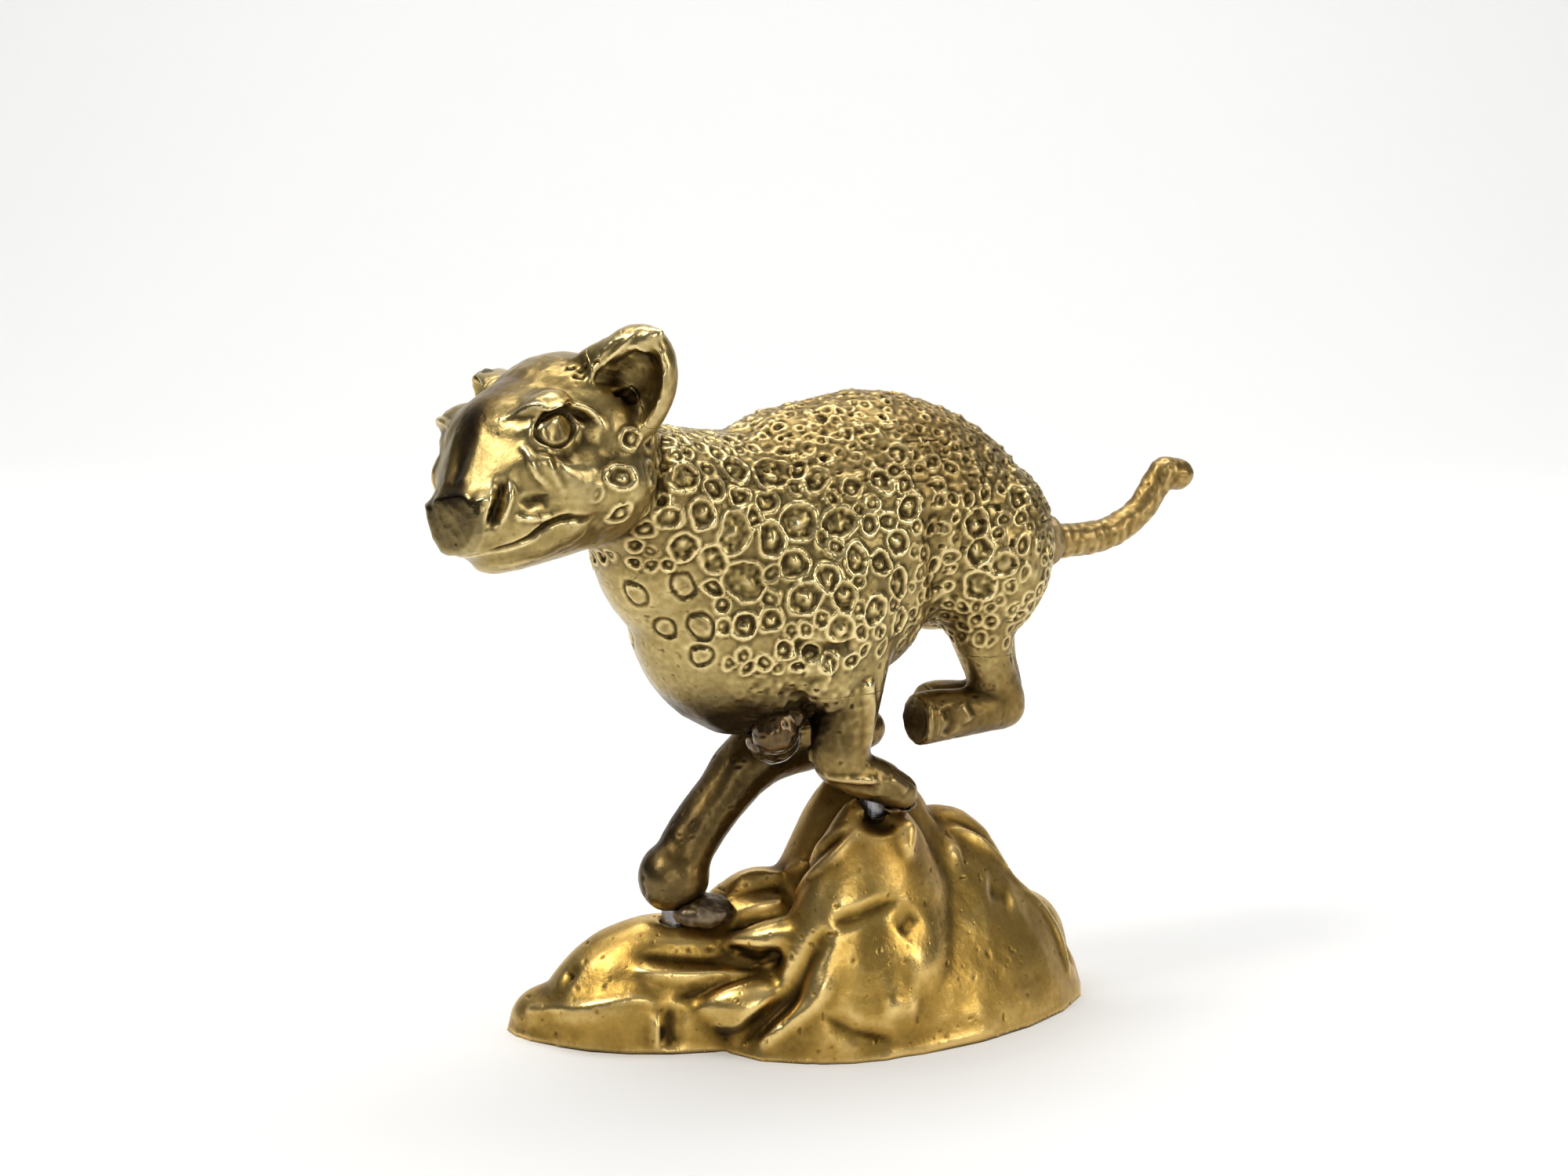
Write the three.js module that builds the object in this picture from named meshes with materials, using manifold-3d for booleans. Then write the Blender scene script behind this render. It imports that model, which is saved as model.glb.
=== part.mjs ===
// Cast brass hood ornament: a running spotted cat brazed to a hollow rock base.
//
// Millimetres, +Z up. The cat runs towards -X and its left side faces -Y. The castings are laid out
// round a point under the middle of the trunk, and the finished group is then centred on its own box,
// so the origin is the middle of the footprint, on the surface that the base stands on.

import * as THREE from "three";
import { mergeVertices } from "three/addons/utils/BufferGeometryUtils.js";
import Module from "manifold-3d";

const wasm = await Module();
wasm.setup();

// ---------------------------------------------------------------- driving dimensions

const JOINT_GAP = 0.3; // left between castings where one is fitted to the other

const HEAD_TURN = 17; // degrees, the head looks to the cat's own left
const HEAD_ROLL = -9; // degrees, and leans to its right
const NECK = [-25, 0, 90]; // the point that the head turns about
const FACE_PLANE = 43; // distance from the neck point to the flat nose plane

const FORELEG_SPREAD = [-11.5, 7]; // Y of the left and the right foreleg
const HIND_LEGS = [
  { y: -9.5, hip: [26, 72], knee: [26.5, 64.5], hock: [31, 51.8], toe: [14.4, 50.2] },
  { y: 5.5, hip: [34, 70], knee: [38, 62], hock: [41.5, 49.6], toe: [26, 48.2] },
];

const ROCK_WALL = 3.6; // the rock base is cast hollow
const HOLLOW_BELOW = 2; // how far the core of the hollow reaches below the rim
const FILL_HEIGHT = 40; // posts inside the hollow run up into its roof

const BOSS_RADIUS = 5.5;
const BOSS_HOLE_RADIUS = 2.5; // tapping drill of an M6 thread
const BOSS_HOLE_DEPTH = 12;
const BOSS_SPACING = 34;
const BOSS_HEADING = -15; // degrees, along the long axis of the base
const FIRST_BOSS = [-7, 5];

const STUD_RADIUS = 2; // M4 studs hold the paws to the rock
const STUD_CLEARANCE = 0.35;
const WASHER = { outer: 4.5, inner: 2.3, thickness: 0.8 };
const NUT = { acrossFlats: 7, inner: 2.3, height: 3.2 };
const SEAT_RADIUS = 5.2; // flat pad round each stud, under the roof of the hollow

// ---------------------------------------------------------------- solids

const axisY = new THREE.Vector3(0, 1, 0);
const radians = (degrees) => THREE.MathUtils.degToRad(degrees);

// A closed three.js geometry as a manifold-3d solid.
function solid(geometry) {
  const bare = geometry.index ? geometry.toNonIndexed() : geometry.clone();
  bare.deleteAttribute("normal");
  bare.deleteAttribute("uv");
  const merged = mergeVertices(bare, 1e-4);
  const vertProperties = new Float32Array(merged.attributes.position.array);
  const triVerts = new Uint32Array(merged.index.array);
  return new wasm.Manifold(new wasm.Mesh({ numProp: 3, vertProperties, triVerts }));
}

const join = (...solids) => solids.reduce((whole, next) => whole.add(next));
const cut = (whole, ...tools) => tools.reduce((rest, tool) => rest.subtract(tool), whole);

function geometryOf(shape) {
  const mesh = shape.getMesh();
  const stride = mesh.numProp;
  const points = new Float32Array(mesh.numVert * 3);
  for (let i = 0; i < mesh.numVert; i++) {
    points.set(mesh.vertProperties.subarray(i * stride, i * stride + 3), i * 3);
  }
  const geometry = new THREE.BufferGeometry();
  geometry.setAttribute("position", new THREE.BufferAttribute(points, 3));
  geometry.setIndex(new THREE.BufferAttribute(new Uint32Array(mesh.triVerts), 1));
  geometry.computeVertexNormals();
  return geometry;
}

// Turns about X, Y and Z in that order, by angles in degrees, and then a move.
function placement(angles, centre) {
  const turn = new THREE.Euler(...angles.map(radians), "ZYX");
  return new THREE.Matrix4().makeRotationFromEuler(turn).setPosition(...centre);
}

const placed = (shape, angles, centre) => solid(geometryOf(shape).applyMatrix4(placement(angles, centre)));

// An ellipsoid.
function ball(centre, radii, angles = [0, 0, 0], around = 16) {
  const geometry = new THREE.SphereGeometry(1, around, Math.round(around * 0.6));
  geometry.scale(...radii);
  geometry.applyMatrix4(placement(angles, centre));
  return solid(geometry);
}

const grown = (radii, grow) => radii.map((r) => r + grow);

// A limb with rounded ends along a smooth spine. Each station is
// [x, y, z, half width across the cat, half height in the plane of the limb].
function limb(stations, { grow = 0, around = 12, perSpan = 2 } = {}) {
  const spine = new THREE.CatmullRomCurve3(stations.map((s) => new THREE.Vector3(s[0], s[1], s[2])));
  const sizes = new THREE.CatmullRomCurve3(stations.map((s) => new THREE.Vector3(s[3], s[4], 0)));
  const spans = (stations.length - 1) * perSpan;
  const geometry = new THREE.CapsuleGeometry(1, 2, 3, around, spans);
  const place = geometry.attributes.position;
  const point = new THREE.Vector3();
  for (let i = 0; i < place.count; i++) {
    point.fromBufferAttribute(place, i);
    const along = THREE.MathUtils.clamp(point.y, -1, 1);
    const beyond = point.y - along; // the part of the rounded end
    const t = (along + 1) / 2;
    const size = sizes.getPoint(t);
    const width = size.x + grow;
    const height = size.y + grow;
    const tangent = spine.getTangent(t);
    const side = axisY.clone().addScaledVector(tangent, -tangent.y).normalize();
    const up = side.clone().cross(tangent);
    const onSpine = spine.getPoint(t);
    onSpine.addScaledVector(tangent, beyond * Math.min(width, height));
    onSpine.addScaledVector(side, point.x * width);
    onSpine.addScaledVector(up, point.z * height);
    place.setXYZ(i, onSpine.x, onSpine.y, onSpine.z);
  }
  return solid(geometry);
}

// A plain cylinder or hexagonal prism standing on the plane z = base.
function post(radius, height, x, y, base, sides = 24) {
  const geometry = new THREE.CylinderGeometry(radius, radius, height, sides);
  geometry.rotateX(Math.PI / 2);
  geometry.translate(x, y, base + height / 2);
  return solid(geometry);
}

function block(size, centre) {
  const geometry = new THREE.BoxGeometry(...size);
  geometry.translate(...centre);
  return solid(geometry);
}

// ---------------------------------------------------------------- trunk

function torsoMass(grow = 0) {
  const trunk = limb(
    [
      [31, 0, 78.5, 14, 13.5],
      [24, 0, 81, 16, 17],
      [12, 0, 82, 17, 20.8],
      [1, 0, 77.8, 18, 23.6],
      [-7, 0, 75.5, 17, 23],
    ],
    { grow, around: 20, perSpan: 3 },
  );
  const chest = ball([-10.5, 0, 71], grown([20.5, 17.2, 22.2], grow), [0, 0, 0], 20);
  const throat = ball([-29, -1, 77], grown([7.5, 10, 13], grow), [0, -23, 0], 18);
  const neck = limb(
    [
      [-4, 0, 79, 16.5, 20.5],
      [-14, -0.5, 80.5, 16, 18.5],
      [-22, -1.5, 84, 14.5, 14.5],
      [-30, -3, 88, 12, 11.5],
    ],
    { grow, around: 18, perSpan: 3 },
  );
  const leftShoulder = ball([-3, -11, 72], grown([13, 8.5, 16], grow), [0, 12, 0]);
  const rightShoulder = ball([-3, 11, 72], grown([13, 8.5, 16], grow), [0, 12, 0]);
  const leftHaunch = ball([28.5, -8.5, 76], grown([11.5, 9.5, 15], grow), [0, 10, 0]);
  const rightHaunch = ball([30.5, 8.5, 75.5], grown([12, 9.5, 15], grow), [0, 10, 0]);
  return join(trunk, chest, throat, neck, leftShoulder, rightShoulder, leftHaunch, rightHaunch);
}

function tailMass(grow = 0) {
  const shaft = limb(
    [
      [42, 2, 76.2, 3.4, 3.4],
      [49, 2, 75.4, 2.9, 3],
      [56, 2, 75.3, 2.6, 2.9],
      [62.5, 2, 76.4, 2.5, 2.7],
      [68, 2, 79.6, 2.4, 2.6],
      [71.8, 2, 84.6, 2.5, 2.6],
    ],
    { grow },
  );
  const tip = limb(
    [
      [72.8, 2, 85.9, 2.6, 2.6],
      [75.9, 2, 85.2, 2.8, 2.8],
    ],
    { grow },
  );
  return join(shaft, tip);
}

// ---------------------------------------------------------------- head

// The head is laid out facing -X from the neck point, then turned and lifted onto the neck.
const ontoNeck = (shape) => placed(shape, [HEAD_ROLL, 0, HEAD_TURN], NECK);

function skullMass(grow = 0) {
  const cranium = ball([-20, 0, 7.2], grown([12.5, 14.5, 13.2], grow), [0, -8, 0], 22);
  const forehead = ball([-29.5, 0, 5.5], grown([9.5, 12, 10.5], grow), [0, -20, 0], 18);
  const crown = ball([-29, 0.5, 11.2], grown([7.5, 8.5, 5.4], grow), [0, -29, 0], 18);
  const cheeks = ball([-20.5, 0, 0.8], grown([10.5, 15, 9.8], grow), [0, 0, 0], 18);
  return join(cranium, forehead, crown, cheeks);
}

function headMass() {
  const muzzle = limb(
    [
      [-26, 0, 1.5, 10, 8.5],
      [-34, 0, -0.4, 8.8, 7.2],
      [-40, 0, -2.4, 7.2, 5.6],
      [-44, 0, -3.6, 6, 4.4],
    ],
    { around: 16 },
  );
  const bridge = limb(
    [
      [-29, 0, 9.5, 6.5, 4.8],
      [-35.4, 0, 5, 6.2, 4.6],
      [-41.2, 0, -0.6, 5.6, 2.6],
    ],
    { around: 12 },
  );
  const jaw = limb(
    [
      [-22, 0, -4.6, 9.5, 4.6],
      [-30, 0, -7, 7.6, 3.2],
      [-36, 0, -8.4, 5, 2.4],
    ],
    { around: 14 },
  );
  const brows = [-1, 1].map((side) =>
    ball([-31.5, side * 8.6, 11.2], [4.6, 4.2, 2.8], [0, -30, side * 18], 12),
  );
  const eyes = [-1, 1].map((side) => ball([-31.4, side * 9.6, 7.6], [3.4, 3, 2.6], [0, 0, 0], 12));
  const noseCut = block([20, 60, 60], [-FACE_PLANE - 10, 0, 0]);
  const whole = join(skullMass(), muzzle, bridge, jaw, ...brows, ...eyes);
  return cut(whole, noseCut);
}

// A cupped ear. side is -1 for the left ear and 1 for the right.
function earMass(side) {
  const shell = ball([0, 0, 0], [4.8, 6.6, 9.6], [0, 0, 0], 20);
  const hollow = ball([-4, 0, 0.6], [5.6, 5.3, 8], [0, 0, 0], 16);
  const cup = cut(shell, hollow);
  return placed(cup, [side * -30, -8, side * -30], [-19, side * 14, 13.6]);
}

// ---------------------------------------------------------------- legs

function leftForelegMass(grow = 0) {
  const y = FORELEG_SPREAD[0];
  const forearm = limb(
    [
      [3, y + 1, 68, 6, 7],
      [1.5, y, 60, 5, 5.6],
      [-0.6, y, 51, 4.4, 5.2],
      [-0.9, y, 46.2, 4.4, 4.6],
    ],
    { grow },
  );
  const paw = limb(
    [
      [-1.6, y, 45.4, 4.2, 3.4],
      [4.4, y, 42.4, 4.6, 3.6],
      [9.6, y, 39.8, 4.4, 3.1],
    ],
    { grow },
  );
  return join(forearm, paw);
}

function rightForelegMass(grow = 0) {
  const y = FORELEG_SPREAD[1];
  const limbShape = limb(
    [
      [15, y, 46, 4, 3.6],
      [5, y, 45.5, 5, 5.2],
      [-5, y, 44, 5.2, 5.6],
      [-12, y, 37.5, 4.5, 4.4],
      [-18, y, 30.5, 4.7, 4.4],
      [-20, y, 26, 5, 4.6],
    ],
    { grow },
  );
  const paw = ball([-20.6, y, 25.6], grown([5.9, 5.4, 5.9], grow), [0, 0, 0], 18);
  return join(limbShape, paw);
}

// A hind leg, swung forward under the belly. knee, hock and toe are [x, z] of its joints.
// The foot ends in a flat face, where the toes are cut off square.
function hindLegMass({ y, hip, knee, hock, toe }, grow = 0) {
  const thigh = limb(
    [
      [hip[0], y, hip[1], 6, 7],
      [knee[0], y, knee[1], 5, 5.7],
      [(knee[0] + hock[0]) / 2 - 0.4, y, (knee[1] + hock[1]) / 2, 4.1, 4.3],
      [hock[0], y, hock[1], 3.8, 4],
    ],
    { grow },
  );
  const foot = limb(
    [
      [hock[0] + 0.4, y, hock[1] - 1, 3.8, 3.7],
      [(hock[0] + toe[0]) / 2, y, hock[1] - 1.2, 4, 4],
      [toe[0] + 3, y, toe[1] + 0.4, 4.3, 4.3],
      [toe[0], y, toe[1], 4.3, 4.3],
    ],
    { grow },
  );
  const toeCut = block([10, 20, 20], [toe[0] - 5 - grow, y, toe[1]]);
  return cut(join(thigh, foot), toeCut);
}

// ---------------------------------------------------------------- rock base

// One lobe of the rock: a mound with a flat bottom on the plane z = 0. A higher boxiness
// gives a flatter top and steeper sides. The grow value is negative for the hollow inside,
// which also reaches a little below the plane, so that it opens the base from underneath.
function mound({ centre, radii, height, heading = 0, boxiness = 2.2 }, grow = 0, below = 0) {
  const rings = 6;
  const foot = -below / (height + grow);
  const profile = [new THREE.Vector2(0, foot), new THREE.Vector2(1, foot)];
  if (below > 0) profile.push(new THREE.Vector2(1, 0));
  for (let i = 1; i < rings; i++) {
    const out = Math.cos((Math.PI / 2) * (i / rings));
    profile.push(new THREE.Vector2(out, (1 - out ** boxiness) ** (1 / boxiness)));
  }
  profile.push(new THREE.Vector2(0, 1));
  const geometry = new THREE.LatheGeometry(profile, 20);
  geometry.rotateX(Math.PI / 2);
  geometry.scale(radii[0] + grow, radii[1] + grow, height + grow);
  geometry.rotateZ(radians(heading));
  geometry.translate(centre[0], centre[1], 0);
  return solid(geometry);
}

const LOBES = [
  { centre: [-31.5, 13], radii: [15, 8.5], height: 8.5, heading: -44, boxiness: 2.4 }, // rolled snout
  { centre: [-21, 8], radii: [22, 12], height: 19.5, heading: -26, boxiness: 1.9 }, // ledge
  { centre: [-6, 4], radii: [17, 12], height: 26, heading: -20, boxiness: 1.9 }, // saddle
  { centre: [11, 0], radii: [20, 15], height: 44, heading: -8, boxiness: 1.7 }, // peak
  { centre: [6, -10], radii: [19, 12], height: 41, heading: 6, boxiness: 1.6 }, // near face
  { centre: [17, -3], radii: [35.5, 19.5], height: 33, heading: 6, boxiness: 1.45 }, // right lobe
  { centre: [25, 0], radii: [17, 13], height: 33.5, heading: -14, boxiness: 2 }, // shoulder
  { centre: [41, 3], radii: [12, 10.5], height: 15.5, heading: 14, boxiness: 3 }, // far lobe
  { centre: [4, 11], radii: [34, 13], height: 21, heading: -6, boxiness: 1.7 }, // far face
];

const rockMass = (grow = 0, below = 0) => join(...LOBES.map((lobe) => mound(lobe, grow, below)));

const bossPlaces = [0, 1].map((i) => [
  FIRST_BOSS[0] + i * BOSS_SPACING * Math.cos(radians(BOSS_HEADING)),
  FIRST_BOSS[1] + i * BOSS_SPACING * Math.sin(radians(BOSS_HEADING)),
]);

// Where each stud stands, how high it reaches into its paw, and how high its flat seat is.
const STUDS = [
  { name: "right_forepaw", x: -20.6, y: FORELEG_SPREAD[1], top: 28, seat: 11.5 },
  { name: "left_forepaw", x: 6, y: FORELEG_SPREAD[0] + 1.5, top: 43, seat: 22 },
];

function studHole({ x, y, top, seat }) {
  return post(STUD_RADIUS + STUD_CLEARANCE, top - seat + 1.5, x, y, seat - 1, 20);
}

function rockBase(paws) {
  const outside = rockMass();
  const hollow = rockMass(-ROCK_WALL, HOLLOW_BELOW);
  const seats = STUDS.map(({ x, y, seat }) => post(SEAT_RADIUS, FILL_HEIGHT, x, y, seat, 20));
  const wells = STUDS.map(({ x, y, seat }) => post(SEAT_RADIUS, seat + 1, x, y, -1, 20));
  const bosses = bossPlaces.map(([x, y]) => post(BOSS_RADIUS, FILL_HEIGHT, x, y, 0, 24));
  const fill = join(...seats, ...bosses).intersect(outside);
  const holes = bossPlaces.map(([x, y]) => post(BOSS_HOLE_RADIUS, BOSS_HOLE_DEPTH + 1, x, y, -1, 20));
  return cut(join(cut(outside, hollow), fill), ...wells, ...holes, ...STUDS.map(studHole), ...paws);
}

// ---------------------------------------------------------------- fixings

// A flat ring or hexagon with a round hole, lying on the plane z = 0.
function ringGeometry(outline, hole, thickness) {
  outline.holes.push(new THREE.Path().absarc(0, 0, hole, 0, Math.PI * 2, true));
  return new THREE.ExtrudeGeometry(outline, { depth: thickness, bevelEnabled: false, curveSegments: 10 });
}

function washerGeometry() {
  const outline = new THREE.Shape().absarc(0, 0, WASHER.outer, 0, Math.PI * 2);
  return ringGeometry(outline, WASHER.inner, WASHER.thickness);
}

function nutGeometry() {
  const corner = NUT.acrossFlats / 2 / Math.cos(Math.PI / 6);
  const corners = [0, 1, 2, 3, 4, 5].map((i) => {
    const angle = (i * Math.PI) / 3;
    return new THREE.Vector2(corner * Math.cos(angle), corner * Math.sin(angle));
  });
  return ringGeometry(new THREE.Shape(corners), NUT.inner, NUT.height);
}

// ---------------------------------------------------------------- assembly

const finishes = {
  brass: { color: 0x967d4b, roughness: 0.42, metalness: 1 },
  polished: { color: 0xaa8232, roughness: 0.3, metalness: 1 },
  braze: { color: 0x2c2620, roughness: 0.35, metalness: 0.8 },
  solder: { color: 0x96938c, roughness: 0.5, metalness: 0.9 },
  steel: { color: 0x8d9094, roughness: 0.4, metalness: 1 },
};

const group = new THREE.Group();
group.name = "hood_ornament";

function addMesh(name, geometry, finish, parent = group) {
  const mesh = new THREE.Mesh(geometry, new THREE.MeshStandardMaterial(finishes[finish]));
  mesh.name = name;
  parent.add(mesh);
  return mesh;
}

const addSolid = (name, shape, finish) => addMesh(name, geometryOf(shape), finish);

const torsoTool = torsoMass(JOINT_GAP);
const skullTool = ontoNeck(skullMass(JOINT_GAP));
const rockTool = rockMass(JOINT_GAP);

addSolid("head_casting", ontoNeck(headMass()), "brass");
addSolid("left_ear_casting", cut(ontoNeck(earMass(-1)), skullTool), "brass");
addSolid("right_ear_casting", cut(ontoNeck(earMass(1)), skullTool), "brass");
addSolid("torso_casting", cut(torsoMass(), skullTool), "brass");
addSolid("tail_casting", cut(tailMass(), torsoTool), "brass");

const pawHoles = STUDS.map(studHole);
const forelegs = {
  left_foreleg_casting: leftForelegMass(),
  right_foreleg_casting: rightForelegMass(),
};
for (const [name, shape] of Object.entries(forelegs)) {
  addSolid(name, cut(shape, torsoTool, ...pawHoles), "brass");
}
addSolid("left_hind_leg_casting", cut(hindLegMass(HIND_LEGS[0]), torsoTool), "brass");
addSolid("right_hind_leg_casting", cut(hindLegMass(HIND_LEGS[1]), torsoTool), "brass");

const pawTools = [leftForelegMass(JOINT_GAP), rightForelegMass(JOINT_GAP)];
addSolid("rock_base_casting", rockBase(pawTools), "polished");

// Filler metal where the castings were joined.
const fillers = [
  { name: "chest_braze_bead", finish: "braze", centre: [-9.5, -5.5, 49.2], radii: [4.4, 4.2, 4] },
  { name: "left_forepaw_braze", finish: "braze", centre: [8.5, -9.5, 37.5], radii: [5, 5, 2.6] },
  { name: "right_forepaw_solder", finish: "solder", centre: [-17, 3.5, 20.4], radii: [5.6, 5, 2.4] },
  { name: "tail_root_braze", finish: "brass", centre: [47.5, 2, 75.6], radii: [3, 4.6, 4.6] },
];
const fillerTools = [torsoTool, rockTool, tailMass(JOINT_GAP), ...pawTools, ...pawHoles];
for (const { name, finish, centre, radii } of fillers) {
  addSolid(name, cut(ball(centre, radii, [0, 0, 0], 16), ...fillerTools), finish);
}

// Hidden studs, washers and nuts, inside the hollow of the base.
for (const { name, x, y, top, seat } of STUDS) {
  const stack = new THREE.Group();
  stack.position.set(x, y, seat);
  group.add(stack);
  const below = JOINT_GAP + WASHER.thickness + JOINT_GAP + NUT.height;
  const length = top - seat + below + 1;
  const rod = new THREE.CylinderGeometry(STUD_RADIUS, STUD_RADIUS, length, 20);
  const stud = addMesh(`${name}_stud`, rod, "steel", stack);
  stud.rotation.x = Math.PI / 2;
  stud.position.z = top - seat - length / 2;
  const washer = addMesh(`${name}_washer`, washerGeometry(), "steel", stack);
  washer.position.z = -JOINT_GAP - WASHER.thickness;
  const nut = addMesh(`${name}_nut`, nutGeometry(), "steel", stack);
  nut.position.z = -below;
}

// Centre the ornament over its footprint, with the base on the plane z = 0.
group.updateMatrixWorld(true);
const box = new THREE.Box3().setFromObject(group, true);
group.position.set(-(box.min.x + box.max.x) / 2, -(box.min.y + box.max.y) / 2, -box.min.z);

export default group;
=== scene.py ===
"""The looks of the cast brass hood ornament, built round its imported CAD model.

The cat's castings are fused into one skin, smoothed and sculpted with brushes, and parted again into
one piece for each casting, so that the brazed joints run through without a gap. The rock is sculpted
on its own. Sculpting is in millimetres, in the part's own layout, and the pieces are in metres.
"""

import math

import bmesh
import bpy
import numpy as np
from mathutils import Euler, Matrix, Vector
from mathutils.bvhtree import BVHTree


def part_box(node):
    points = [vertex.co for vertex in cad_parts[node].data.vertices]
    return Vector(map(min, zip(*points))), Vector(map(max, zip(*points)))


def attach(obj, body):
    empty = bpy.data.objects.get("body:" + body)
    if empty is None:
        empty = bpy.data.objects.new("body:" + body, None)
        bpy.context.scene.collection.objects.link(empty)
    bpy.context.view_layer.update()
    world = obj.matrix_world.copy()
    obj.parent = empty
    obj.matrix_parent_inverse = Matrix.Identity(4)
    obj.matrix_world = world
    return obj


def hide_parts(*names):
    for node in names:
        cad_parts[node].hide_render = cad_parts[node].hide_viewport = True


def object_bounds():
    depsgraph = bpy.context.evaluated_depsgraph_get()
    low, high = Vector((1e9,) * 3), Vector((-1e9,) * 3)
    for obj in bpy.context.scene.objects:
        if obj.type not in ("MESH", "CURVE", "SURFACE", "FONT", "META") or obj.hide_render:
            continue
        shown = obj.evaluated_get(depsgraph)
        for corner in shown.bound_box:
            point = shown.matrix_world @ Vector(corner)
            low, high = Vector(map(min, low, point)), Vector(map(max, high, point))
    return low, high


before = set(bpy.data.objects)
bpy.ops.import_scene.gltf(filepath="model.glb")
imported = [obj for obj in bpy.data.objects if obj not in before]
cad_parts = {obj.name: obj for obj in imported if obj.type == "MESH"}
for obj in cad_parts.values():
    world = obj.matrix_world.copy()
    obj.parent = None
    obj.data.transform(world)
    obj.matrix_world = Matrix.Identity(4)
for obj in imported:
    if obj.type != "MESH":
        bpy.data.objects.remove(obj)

cad_low, cad_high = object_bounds()

MM = 0.001

# ---------------------------------------------------------------- places, from the frame

# The layout's own origin: the right forepaw's stud stands at this place in it.
STUD_PLACE = (-20.6, 7.0)
_stud_low, _stud_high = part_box("right_forepaw_stud")
ORIGIN = np.array([
    (_stud_low.x + _stud_high.x) / 2 / MM - STUD_PLACE[0],
    (_stud_low.y + _stud_high.y) / 2 / MM - STUD_PLACE[1],
    0.0,
])

# The head's own frame: -X is forward, -Y is the cat's left, as in the CAD.
NECK = np.array([-25.0, 0.0, 90.0])
HEAD_TURN, HEAD_ROLL = 17, -9
_turned = Euler((math.radians(HEAD_ROLL), 0, math.radians(HEAD_TURN))).to_matrix()
HEAD_AXES = np.array(_turned)

CAT_CASTINGS = (
    "head_casting",
    "left_ear_casting",
    "right_ear_casting",
    "torso_casting",
    "tail_casting",
    "left_foreleg_casting",
    "right_foreleg_casting",
    "left_hind_leg_casting",
    "right_hind_leg_casting",
)


def head_local(points):
    """Layout points in the head's own frame."""
    return (points - NECK) @ HEAD_AXES


def from_head(points):
    """Points of the head's own frame, in the layout."""
    return np.asarray(points, float) @ HEAD_AXES.T + NECK


def from_head_side(points, side):
    """Points given for the left side of the head, on the side named (-1 left, 1 right), in the layout."""
    return from_head(np.asarray(points, float) * [1, -side, 1])


# ---------------------------------------------------------------- mesh tools


def new_object(name, mesh):
    obj = bpy.data.objects.new(name, mesh)
    bpy.context.scene.collection.objects.link(obj)
    return obj


def read_array(items, name, width, kind=float):
    """One property of a mesh's vertices or edges, as an array with this many columns."""
    flat = np.empty(len(items) * width, kind)
    items.foreach_get(name, flat)
    return flat.reshape(-1, width)


def read_points(mesh):
    """A mesh's vertices, in layout millimetres."""
    return read_array(mesh.vertices, "co", 3) / MM - ORIGIN


def write_points(mesh, points):
    mesh.vertices.foreach_set("co", ((points + ORIGIN) * MM).astype(np.float32).ravel())
    mesh.update()


def apply_modifier(obj, kind, **settings):
    """Adds one modifier, with these settings, and bakes it into the mesh."""
    modifier = obj.modifiers.new(kind, kind)
    for key, value in settings.items():
        setattr(modifier, key, value)
    evaluated = obj.evaluated_get(bpy.context.evaluated_depsgraph_get())
    mesh = bpy.data.meshes.new_from_object(evaluated)
    obj.modifiers.remove(modifier)
    obj.data = mesh


def joined_castings(names, swell):
    """The CAD castings as one mesh, each swollen a little so that neighbours overlap."""
    joined = bmesh.new()
    for name in names:
        one = bmesh.new()
        one.from_mesh(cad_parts[name].data)
        bmesh.ops.remove_doubles(one, verts=one.verts, dist=1e-6)
        one.normal_update()
        for vertex in one.verts:
            vertex.co += vertex.normal * swell * MM
        part = bpy.data.meshes.new("part")
        one.to_mesh(part)
        one.free()
        joined.from_mesh(part)
        bpy.data.meshes.remove(part)
    mesh = bpy.data.meshes.new("joined")
    joined.to_mesh(mesh)
    joined.free()
    return new_object("joined", mesh)


def smoothed(points, edges, strength, rounds):
    """Laplacian smoothing. strength is one number, or one for each point."""
    count = len(points)
    a, b = edges[:, 0], edges[:, 1]
    degree = np.bincount(a, minlength=count) + np.bincount(b, minlength=count)
    strength = np.broadcast_to(strength, count)[:, None]
    points = points.copy()
    for _ in range(rounds):
        total = np.empty_like(points)
        for axis in range(points.shape[1]):
            column = points[:, axis]
            total[:, axis] = np.bincount(a, column[b], count) + np.bincount(b, column[a], count)
        points += strength * (total / degree[:, None] - points)
    return points


def smooth_step(low, high, x):
    t = np.clip((x - low) / (high - low), 0, 1)
    return t * t * (3 - 2 * t)


def distance_from(points, centre, stretch=1):
    """Each point's distance from a centre, measured in units of stretch along each axis."""
    return np.linalg.norm((points - centre) / np.asarray(stretch), axis=1)


def fall_off(distance, radius):
    """1 at a brush's middle, 0 at its radius, smooth between."""
    return np.clip(1 - (distance / radius) ** 2, 0, 1) ** 2


def bell(offset, width, power=2):
    """1 where the offset is 0, and fading to nothing past the width."""
    return np.exp(-((offset / width) ** power))


def to_line(points, line):
    """Distance of each point from a polyline, and how far along it the nearest place is, 0 to 1."""
    line = np.asarray(line, float)
    nearest = np.full(len(points), 1e9)
    along = np.zeros(len(points))
    spans = len(line) - 1
    for i in range(spans):
        start, step = line[i], line[i + 1] - line[i]
        t = np.clip(((points - start) @ step) / (step @ step), 0, 1)
        distance = np.linalg.norm(points - start - t[:, None] * step, axis=1)
        closer = distance < nearest
        nearest = np.where(closer, distance, nearest)
        along = np.where(closer, (i + t) / spans, along)
    return nearest, along


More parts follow.
